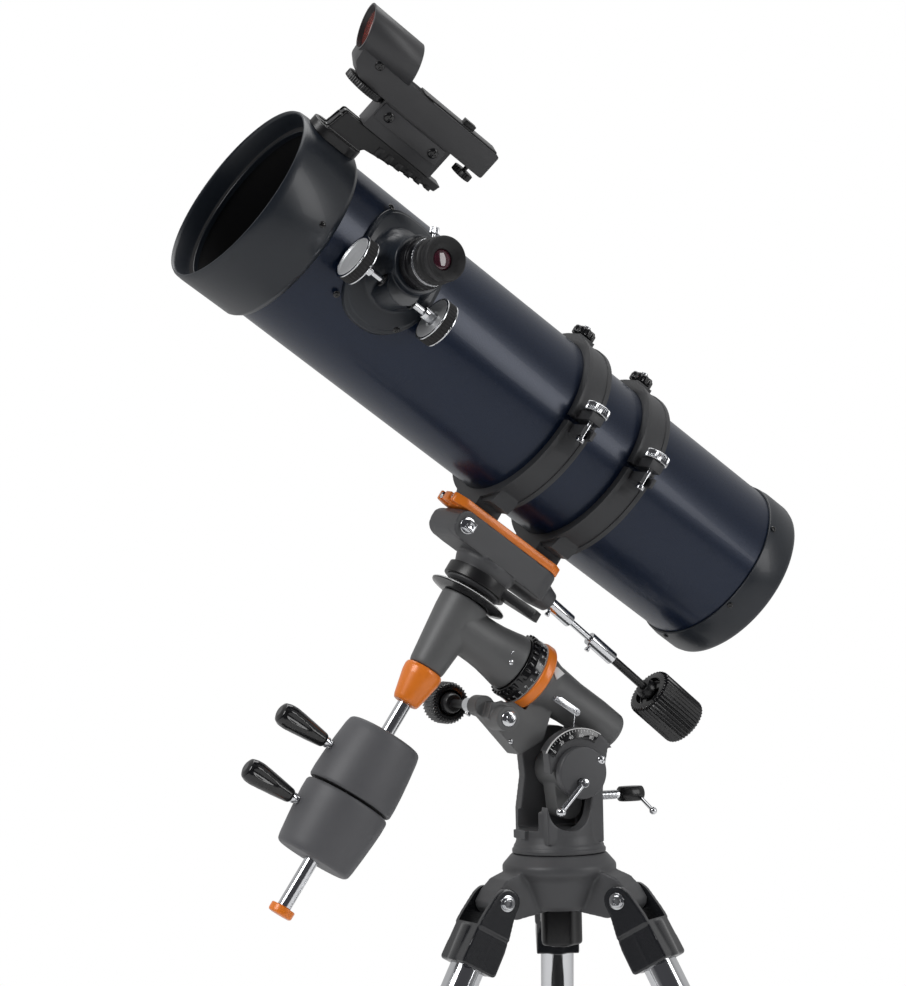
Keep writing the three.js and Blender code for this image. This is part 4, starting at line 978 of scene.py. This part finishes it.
def optical_tube():
    body = "tube_assembly"
    hole = moved(disc(23, 60, 100), FOCUSER_TO_TUBE)
    shell = lathe([(81.2, TUBE_BACK), (82, TUBE_BACK), (82, TUBE_FRONT), (81.2, TUBE_FRONT)], "X", 192)
    piece("tube_shell", cut(shell, hole), TUBE, body, NAVY, ["main_tube"])
    lining = lathe([(80.8, TUBE_BACK), (81.15, TUBE_BACK), (81.15, TUBE_FRONT),
                    (80.8, TUBE_FRONT)], "X", 128)
    piece("tube_lining", cut(lining, hole), TUBE, body, LINING)

    front = [(82.3, 331), (84.2, 331), (85.2, 331.6), (88, 335.6), (88.8, 337.4), (89.6, 388),
             (89.2, 394), (88.2, 396), (87.4, 396.3), (86.6, 395.6), (85.8, 393), (85.2, 380),
             (84.8, 377.6), (80.4, 377.2), (80, 376.8), (80, 372.3), (82.3, 372.3)]
    piece("front_rim", lathe(front, "X", 192), TUBE, body, CELL, ["front_cell"])
    inner = lathe([(84.7, 378), (84.6, 378), (80.2, 377.7), (80.2, 377.5), (84.6, 377.4)], "X", 128)
    piece("front_baffle", inner, TUBE, body, LINING)
    screws = []
    for i in range(3):
        at = spin(-91 + 120 * i, "X") @ shift(346, 0, 88.5)
        screws.append(moved(pan_head(3.1, 1.6), at))
    for i in range(6):
        at = spin(-60 * i, "X") @ shift(-204, 0, 85)
        screws.append(moved(pan_head(2.8, 1.4), at))
    piece("cell_screws", merge(*screws), TUBE, body, GLOSS_BLACK)

    rear = [(0, -232), (58, -232), (60, -233), (61.6, -235.4), (63, -236), (79, -236), (82, -235.4),
            (84.4, -233.4), (85.4, -230), (85.4, -209), (84.8, -205), (84.2, -200.4), (83.6, -200),
            (82.3, -200), (82.3, -203.3), (78, -203.3), (78, -227), (0, -227)]
    piece("rear_cap", lathe(rear, "X", 192), TUBE, body, CELL, ["rear_cell"])
    cell = lathe([(0, -229), (12, -229), (12, -223), (67, -223), (68, -222), (68, -208),
                  (65.6, -208), (65.6, -218), (0, -218)], "X", 128)
    piece("mirror_seat", cell, TUBE, body, LINING)
    knobs, locks = [], []
    for i in range(3):
        at = spin(120 * i + 20, "X") @ shift(-232, 0, 44)
        knobs.append(moved(merge(tapered_knob(knurled(6.4, 12, 0.7, 6), "yz", -3.6, 0.4, 0.8),
                                 disc(2.2, -0.5, 2, "X")), at))
        at = spin(120 * i + 38, "X") @ shift(-232, 0, 44) @ spin(-90, "Y")
        locks.append(moved(pan_head(4.2, 2.2), at))
    piece("collimation_knobs", merge(*knobs), TUBE, body, BLACK)
    piece("collimation_lock_screws", merge(*locks), TUBE, body, CHROME)
    glass = [(0, -217.7), (65, -217.7), (65, -205.2), (64.4, -204.7)]
    glass += [(64 - 4 * i, -204.72 - 3 * (1 - ((64 - 4 * i) / 64) ** 2)) for i in range(16)]
    piece("mirror_disc", lathe([*glass, (0, -207.72)], "X", 128), TUBE, body,
          MIRROR, ["primary_mirror"])
    centre_ring = lathe([(3, -207.6), (4, -207.6), (4, -207.5), (3, -207.5)], "X", 32)
    piece("mirror_centre_ring", centre_ring, TUBE, body, LINING)

    vanes, studs = [], []
    for i in range(3):
        turn = spin(30 + 120 * i, "X")
        vanes.append(moved(box((324, -0.5, 10), (336, 0.5, 80.5)), turn))
        studs.append(moved(merge(disc(2, 74, 80.6), disc(3.4, 74, 76, edge=0.3)),
                           turn @ shift(330, 0, 0)))
    hub = soft_lathe([(0, 323), (17, 323), (17, 339), (0, 339)], 1.2, "X", 64)
    stem = disc(8, FOCUSER_X, 330, "X")
    stalk = soft_lathe([(0, 246), (18, 246), (18, 296), (0, 296)], 0.6, "X", 64)
    side = moved(box((-120, -40, -40), (0, 40, 40)),
                 spin(FOCUSER_TURN, "X") @ shift(FOCUSER_X, 0, 0) @ spin(45, "Y"))
    piece("spider_vanes", merge(*vanes, hub, stem, cut(stalk, side)), TUBE, body,
          MATTE_BLACK, ["spider_and_secondary"], bevel=0.2)
    for i in range(3):
        studs.append(moved(pan_head(2.6, 2), spin(120 * i + 60, "X") @ shift(338.8, 0, 10)
                           @ spin(90, "Y")))
    studs.append(moved(pan_head(3.4, 2.4), shift(338.8, 0, 0) @ spin(90, "Y")))
    loop = lathe([(8.6, 339.2), (9.8, 339.2), (9.8, 340.4), (8.6, 340.4)], "X", 48)
    loops = [moved(loop, shift(0, 7 * s, 9)) for s in (-1, 1)]
    piece("spider_screws", merge(*studs, *loops), TUBE, body, CHROME)
    flat = moved(lathe([(0, -0.6), (16.4, -0.6), (16.4, -0.2), (0, -0.2)]),
                 spin(FOCUSER_TURN, "X") @ shift(FOCUSER_X, 0, 0) @ spin(-45, "Y") @ shift(0, 0, 1.4)
                 @ Matrix.Diagonal((1.36, 1, 1, 1)))
    piece("secondary_mirror", flat, TUBE, body, MIRROR)


# ---------------------------------------------------------------- focuser
def focuser():
    body = "tube_assembly"
    pinion = (26, 103)
    flange = []
    for step in range(72):
        angle = 2 * math.pi * step / 72
        c, s = math.cos(angle), math.sin(angle)
        reach = (abs(c / 43) ** 2.5 + abs(s / 56) ** 2.5) ** (-1 / 2.5)
        flange.append((reach * c, reach * s))
    saddle = disc(86.4, -60, 60, "X", 192)
    base = keep(prism(flange, "xy", 40, 95), saddle)
    inner = keep(prism([(a * 0.93, b * 0.94) for a, b in flange], "xy", 40, 95),
                 disc(87.5, -60, 60, "X", 192))
    horn = lathe([(0, 78), (38, 78), (35.6, 84.4), (33, 89), (30.4, 93.6), (28.4, 98.6), (27, 104),
                  (26.4, 110), (26, 119.4), (25.4, 120), (0, 120)])
    housing = prism(link((0, 6), 17, (0, 22), 17), "xy", 84, 112)
    room = disc(82.25, -80, 80, "X", 192)
    rooms = [disc(20.3, 50, 130), box((-5, 15, 50), (5, 22.6, 130)),
             rod(3.3, (-30, *pinion), (30, *pinion)),
             rod(6, (-6, *pinion), (6, *pinion))]
    solid = cut(cast(fuse(base, inner, horn, housing), 0.8, 3), room, *rooms)
    piece("focuser_housing", solid, FOCUSER, body, CELL, ["focuser_base"])
    piece("focuser_bearing", merge(*[moved(ring(3.35, 6.2, 0, 1.6, "X", 48), shift(x, *pinion))
                                     for x in (-18.2, 16.6)]), FOCUSER, body,
          BLACK)
    screws = []
    for along, round_tube in ((292, 49), (297, 117), (234, 112), (229, 52)):
        at = spin(-round_tube, "X") @ shift(along, 0, 86.2)
        screws.append(moved(pan_head(3.2, 1.8), at))
    piece("focuser_screws", merge(*screws), TUBE, body, GLOSS_BLACK)
    lock = [moved(pan_head(2.6, 2), pointing((x, 33, 92), (0, 1, 0))) for x in (-6, 6)]
    piece("focuser_tension_screws", merge(*lock), FOCUSER, body, CHROME)

    holder = soft_lathe([(16.2, 58), (20, 58), (20, 120.3), (22.6, 120.3), (22.6, 129),
                         (20.8, 130), (20.8, 138), (16.2, 138)], 0.5)
    rack = [box((-4, 18.6, 60), (4, 20.6, 119))]
    rack += [box((-4, 20.2, 60.4 + 1.6 * i), (4, 21.3, 61.2 + 1.6 * i)) for i in range(37)]
    piece("drawtube_sleeve", merge(holder, *rack), FOCUSER, "drawtube",
          ANODISED, ["drawtube"])
    bright = ring(16.3, 20.9, 137.2, 138.1, edge=0.2)
    thumb = [bright]
    for turn in (-112, -68):
        at = spin(turn, "Z") @ shift(20, 0, 134) @ spin(90, "Y")
        thumb.append(moved(merge(disc(1.7, 0, 9), tapered_knob(knurled(4.2, 16, 0.5, 6), "xy", 5,
                                                               11, 0.7)), at))
    piece("eyepiece_thumbscrews", merge(*thumb), FOCUSER, "drawtube", CHROME)
    barrel = lathe([(0, 112), (15.4, 112), (15.9, 112.5), (15.9, 138.3), (19.6, 138.3), (20.3, 139),
                    (20.6, 141), (20.6, 146), (19.6, 147.4), (18, 148.2), (17.8, 149), (17.8, 151.6),
                    (18.6, 152.8), (19.8, 155.4), (19.9, 159), (19.4, 160.6), (18.4, 160.9),
                    (17.2, 160), (14.4, 157.2), (12.4, 156), (10.6, 155.4), (9.4, 154.6),
                    (9, 152.6), (0, 152.6)])
    piece("eyepiece_barrel", barrel, FOCUSER, "drawtube", MATTE_BLACK,
          ["eyepiece"])
    ribs = merge(*[moved(box((19.9, -0.5, 141), (20.9, 0.5, 146)), spin(9 * i, "Z"))
                   for i in range(40)], ring(15.4, 17.9, 138.3, 139, edge=0.1))
    piece("eyepiece_grip_ribs", ribs, FOCUSER, "drawtube", BLACK)
    band = lathe([(20.35, 138.9), (20.75, 139.1), (20.75, 139.7), (20.35, 139.9)])
    piece("eyepiece_band", band, FOCUSER, "drawtube", STEEL)
    dome = [(9 * math.sin(math.radians(a)), 152.7 + 2.2 * math.cos(math.radians(a)))
            for a in (75, 60, 45, 30, 15)]
    piece("eye_lens", lathe([(0, 152), (9, 152), (9, 152.7), *dome, (0, 154.9)]), FOCUSER,
          "drawtube", PINK_GLASS)

    chrome = [rod(3, (-45, *pinion), (45, *pinion))]
    rims, bowls, lips = [], [], []
    for s in (-1, 1):
        turn = shift(0, *pinion) @ (Matrix.Identity(4) if s > 0 else spin(180, "Z"))
        dish = soft_lathe([(0, 44), (6, 44), (8, 40.6), (19.6, 40.4), (19.6, 51), (17.8, 51.8),
                           (16.6, 50.6), (9, 48.6), (0, 48.2)], 0.5, "X")
        bowls.append(moved(dish, turn))
        for low in (40.4, 50.9):
            lips.append(moved(ring(19.2, 21.4, low, low + 1.2, "X", edge=0.3), turn))
        chrome.append(moved(soft_lathe([(0, 30), (5.4, 30), (5.4, 42), (0, 42)], 0.8, "X"), turn))
        rims.append(moved(cut(prism(knurled(21.2, 40, 0.7, 6), "yz", 41.7, 50.8),
                              disc(19.7, 30, 60, "X")), turn))
    piece("focus_spindle", merge(*chrome, *lips), FOCUSER, "focus_shaft", CHROME,
          ["focus_knobs"])
    # The knob dishes are bright steel with a painted reflection.
    piece("focus_knob_dishes", merge(*bowls), FOCUSER, "focus_shaft", STEEL_PAINTED_REFLECTION)
    piece("focus_knob_grips", merge(*rims), FOCUSER, "focus_shaft", RUBBER)
    gear = moved(prism(knurled(4.4, 12, 0.8, 6), "yz", -5, 5), shift(0, *pinion))
    piece("focus_pinion", gear, FOCUSER, "focus_shaft", STEEL)


# ---------------------------------------------------------------- red-dot finder
HOOD_SLANT = 19
HOOD_AXIS_Z = 184


def finder():
    body = "tube_assembly"
    foot = prism(link((354, 0), 17, (372, 0), 17), "xy", 80, 97)
    arm = prism([(346, 90), (378, 90), (373, 117), (371, 118), (262, 118), (264, 111),
                 (338, 101)], "xz", -9, 9)
    slots = [box((350, y - 2.6, 94), (384, y + 2.6, 121)) for y in (-5.4, 5.4)]
    bracket = cut(cast(fuse(foot, arm), 0.7, 3), disc(89.8, 200, 400, "X", 128), *slots)
    steps = [box((268 + 11 * i, -9.8, 108.5 - 1.1 * i), (274 + 11 * i, 9.8, 112)) for i in range(6)]
    piece("finder_foot", merge(bracket, *steps), FINDER, body, BLACK,
          ["finder_bracket"], bevel=0.3)
    fins = [prism([(352, 91), (378, 91), (375, 112), (366, 117.6), (352, 117.6)], "xz", y - 0.7,
                  y + 0.7) for y in (-5.4, 5.4)]
    piece("finder_foot_fins", merge(*fins), FINDER, body, GLOSS_BLACK, bevel=0.3)

    clamp = box((277, -12, 118.3), (355, 12, 148))
    outline = [(241, 147), (372, 147), (388, 148), (398, 157), (400, 170), (398, 184), (388, 186),
               (372, 172), (241, 172)]
    spine = prism(rounded(outline, 2.4, outline[-1], outline[0]), "xz", -13, 13)
    groove = [box((277, y, 146.4), (356, y + 1.2, 147.6)) for y in (-13.6, 12.4)]
    hood = lathe([(0, 346), (19.6, 346), (19.6, 413.2), (19.1, 414), (0, 414)], "X", 128)
    slant = moved(box((-40, -40, -45), (0, 40, 45)), shift(352, 0, HOOD_AXIS_Z) @ spin(16, "Y"))
    mouth = shift(407.2, 0, HOOD_AXIS_Z) @ spin(HOOD_SLANT, "Y")
    before_mouth = moved(box((0, -40, -45), (40, 40, 45)), mouth)
    room = disc(18, 320, 430, "X", 128)
    barrel = cut(moved(hood, shift(0, 0, HOOD_AXIS_Z)), slant, before_mouth)
    solid = cut(fuse(clamp, spine, barrel), moved(room, shift(0, 0, HOOD_AXIS_Z)),
                rod(2.4, (253, 0, 140), (253, 0, 160)), *groove)
    piece("finder_shell", solid, FINDER, body, SATIN, ["finder_body"],
          bevel=0.5)
    plate = merge(*[box((281, y, 129.5), (353, y + 1.6, 145.4)) for y in (-13.2, 11.6)])
    piece("finder_clamp_plates", plate, FINDER, body, SATIN, bevel=0.5)
    tab = box((272, -4, 171), (284, 4, 178))
    lid = prism([(244, 171.6), (330, 171.6), (330, 173.4), (244, 173.4)], "xz", -9.6, 9.6)
    dial = moved(tapered_knob(knurled(19, 44, 0.6, 6), "xy", 140.4, 146.7, 0.8), shift(374, 0, 0))
    piece("finder_trim", merge(tab, lid, dial), FINDER, body, BLACK, bevel=0.5)
    screws = [moved(pan_head(4.4, 1.8), pointing((379, 12.6, 167), (0, 1, 0)))]
    for x, z in ((342, 136), (290, 136)):
        screws.append(moved(pan_head(4.8, 2.2), pointing((x, 12.9, z + 1.5), (0, 1, 0))))
    piece("finder_screws", merge(*screws), FINDER, body, GLOSS_BLACK)
    sleeve = moved(lathe([(18, 380), (19.7, 380), (19.7, 425), (18, 425)], "X", 128),
                   shift(0, 0, HOOD_AXIS_Z))
    edge = keep(sleeve, moved(box((-0.3, -40, -45), (0.5, 40, 45)), mouth))
    piece("finder_hood_edge", edge, FINDER, body, SATIN)
    lens = soft_lathe([(0, -1.1), (17.3, -1.1), (17.3, 1.1), (0, 1.1)], 0.3, "X")
    piece("finder_window", moved(lens, shift(402, 0, HOOD_AXIS_Z) @ spin(HOOD_SLANT, "Y")), FINDER, body,
          RED_GLASS, ["finder_lens"])
    wheel = merge(tapered_knob(knurled(10, 24, 0.7, 6), "xy", 136, 142, 0.8), disc(2, 141, 156))
    piece("finder_wheel_grip", wheel, FINDER @ shift(253, 0, 0), "finder_wheel",
          BLACK, ["finder_height_wheel"])


# ---------------------------------------------------------------- the studio
FLOOR_RADIUS = 3.4
ROOM_STRENGTH = 0.5
LIGHT_TARGET = (0, -0.1, 1.05)


def studio():
    scene = bpy.context.scene
    scene.view_settings.view_transform = "Standard"
    bpy.ops.mesh.primitive_circle_add(vertices=96, radius=FLOOR_RADIUS, fill_type="NGON",
                                      location=(0, 0, -0.0005))
    floor = bpy.context.object
    floor.name = "floor"
    pale = finish("pale_floor", (0.86, 0.86, 0.86), 0.7, grain=60, bump=0.01, mottle=0.01)
    floor.data.materials.append(pale)

    world = bpy.data.worlds.new("studio")
    scene.world = world
    world.use_nodes = True
    nodes, links = world.node_tree.nodes, world.node_tree.links
    seen = nodes["Background"]
    seen.inputs["Color"].default_value = (1, 1, 1, 1)
    seen.inputs["Strength"].default_value = 1.0
    room = nodes.new("ShaderNodeBackground")
    room.inputs["Strength"].default_value = ROOM_STRENGTH
    direction = nodes.new("ShaderNodeTexCoord")
    split = nodes.new("ShaderNodeSeparateXYZ")
    ramp = nodes.new("ShaderNodeValToRGB")
    ramp.color_ramp.elements[0].position = 0.18
    ramp.color_ramp.elements[0].color = (0.12, 0.12, 0.13, 1)
    ramp.color_ramp.elements[1].position = 0.62
    ramp.color_ramp.elements[1].color = (1, 1, 1, 1)
    toward = nodes.new("ShaderNodeMapRange")
    toward.inputs["From Min"].default_value = -1
    links.new(direction.outputs["Generated"], split.inputs["Vector"])
    links.new(split.outputs["Y"], toward.inputs["Value"])
    links.new(toward.outputs["Result"], ramp.inputs["Fac"])
    links.new(ramp.outputs["Color"], room.inputs["Color"])
    ray = nodes.new("ShaderNodeLightPath")
    choose = nodes.new("ShaderNodeMixShader")
    links.new(ray.outputs["Is Camera Ray"], choose.inputs["Fac"])
    links.new(room.outputs["Background"], choose.inputs[1])
    links.new(seen.outputs["Background"], choose.inputs[2])
    links.new(choose.outputs["Shader"], nodes["World Output"].inputs["Surface"])

    softbox("key", (-2.2, -1.9, 3.0), (1.6, 1.6), 55)
    softbox("fill", (2.6, -1.6, 1.8), (0.9, 2.2), 26)
    softbox("top", (0.2, 0.5, 3.6), (2.4, 2.4), 40)


def softbox(name, position, size, power):
    data = bpy.data.lights.new(name, "AREA")
    data.shape = "RECTANGLE"
    data.size, data.size_y = size
    data.energy = power
    light = bpy.data.objects.new(name, data)
    target = Vector(LIGHT_TARGET)
    place = Vector(position)
    light.matrix_world = pointing(place, place - target)
    bpy.context.collection.objects.link(light)


tripod_hub()
for leg_number in (1, 2, 3):
    leg(leg_number)
brace()
azimuth_base()
polar_housing()
slow_motion("ra_slow", "ra_slow_motion", RA_SLOW, [(16, 34)], (72, 96, 20), 36,
            ["ra_slow_motion_knob"])
right_ascension()
counterweights()
declination_head()
slow_motion("dec_slow", "dec_slow_motion", DEC_SLOW, [(16, 45), (72, 105)], (157, 211, 24), 40,
            ["dec_slow_motion_knob"])
tube_ring("front", 36)
tube_ring("rear", -41)
optical_tube()
focuser()
finder()
studio()
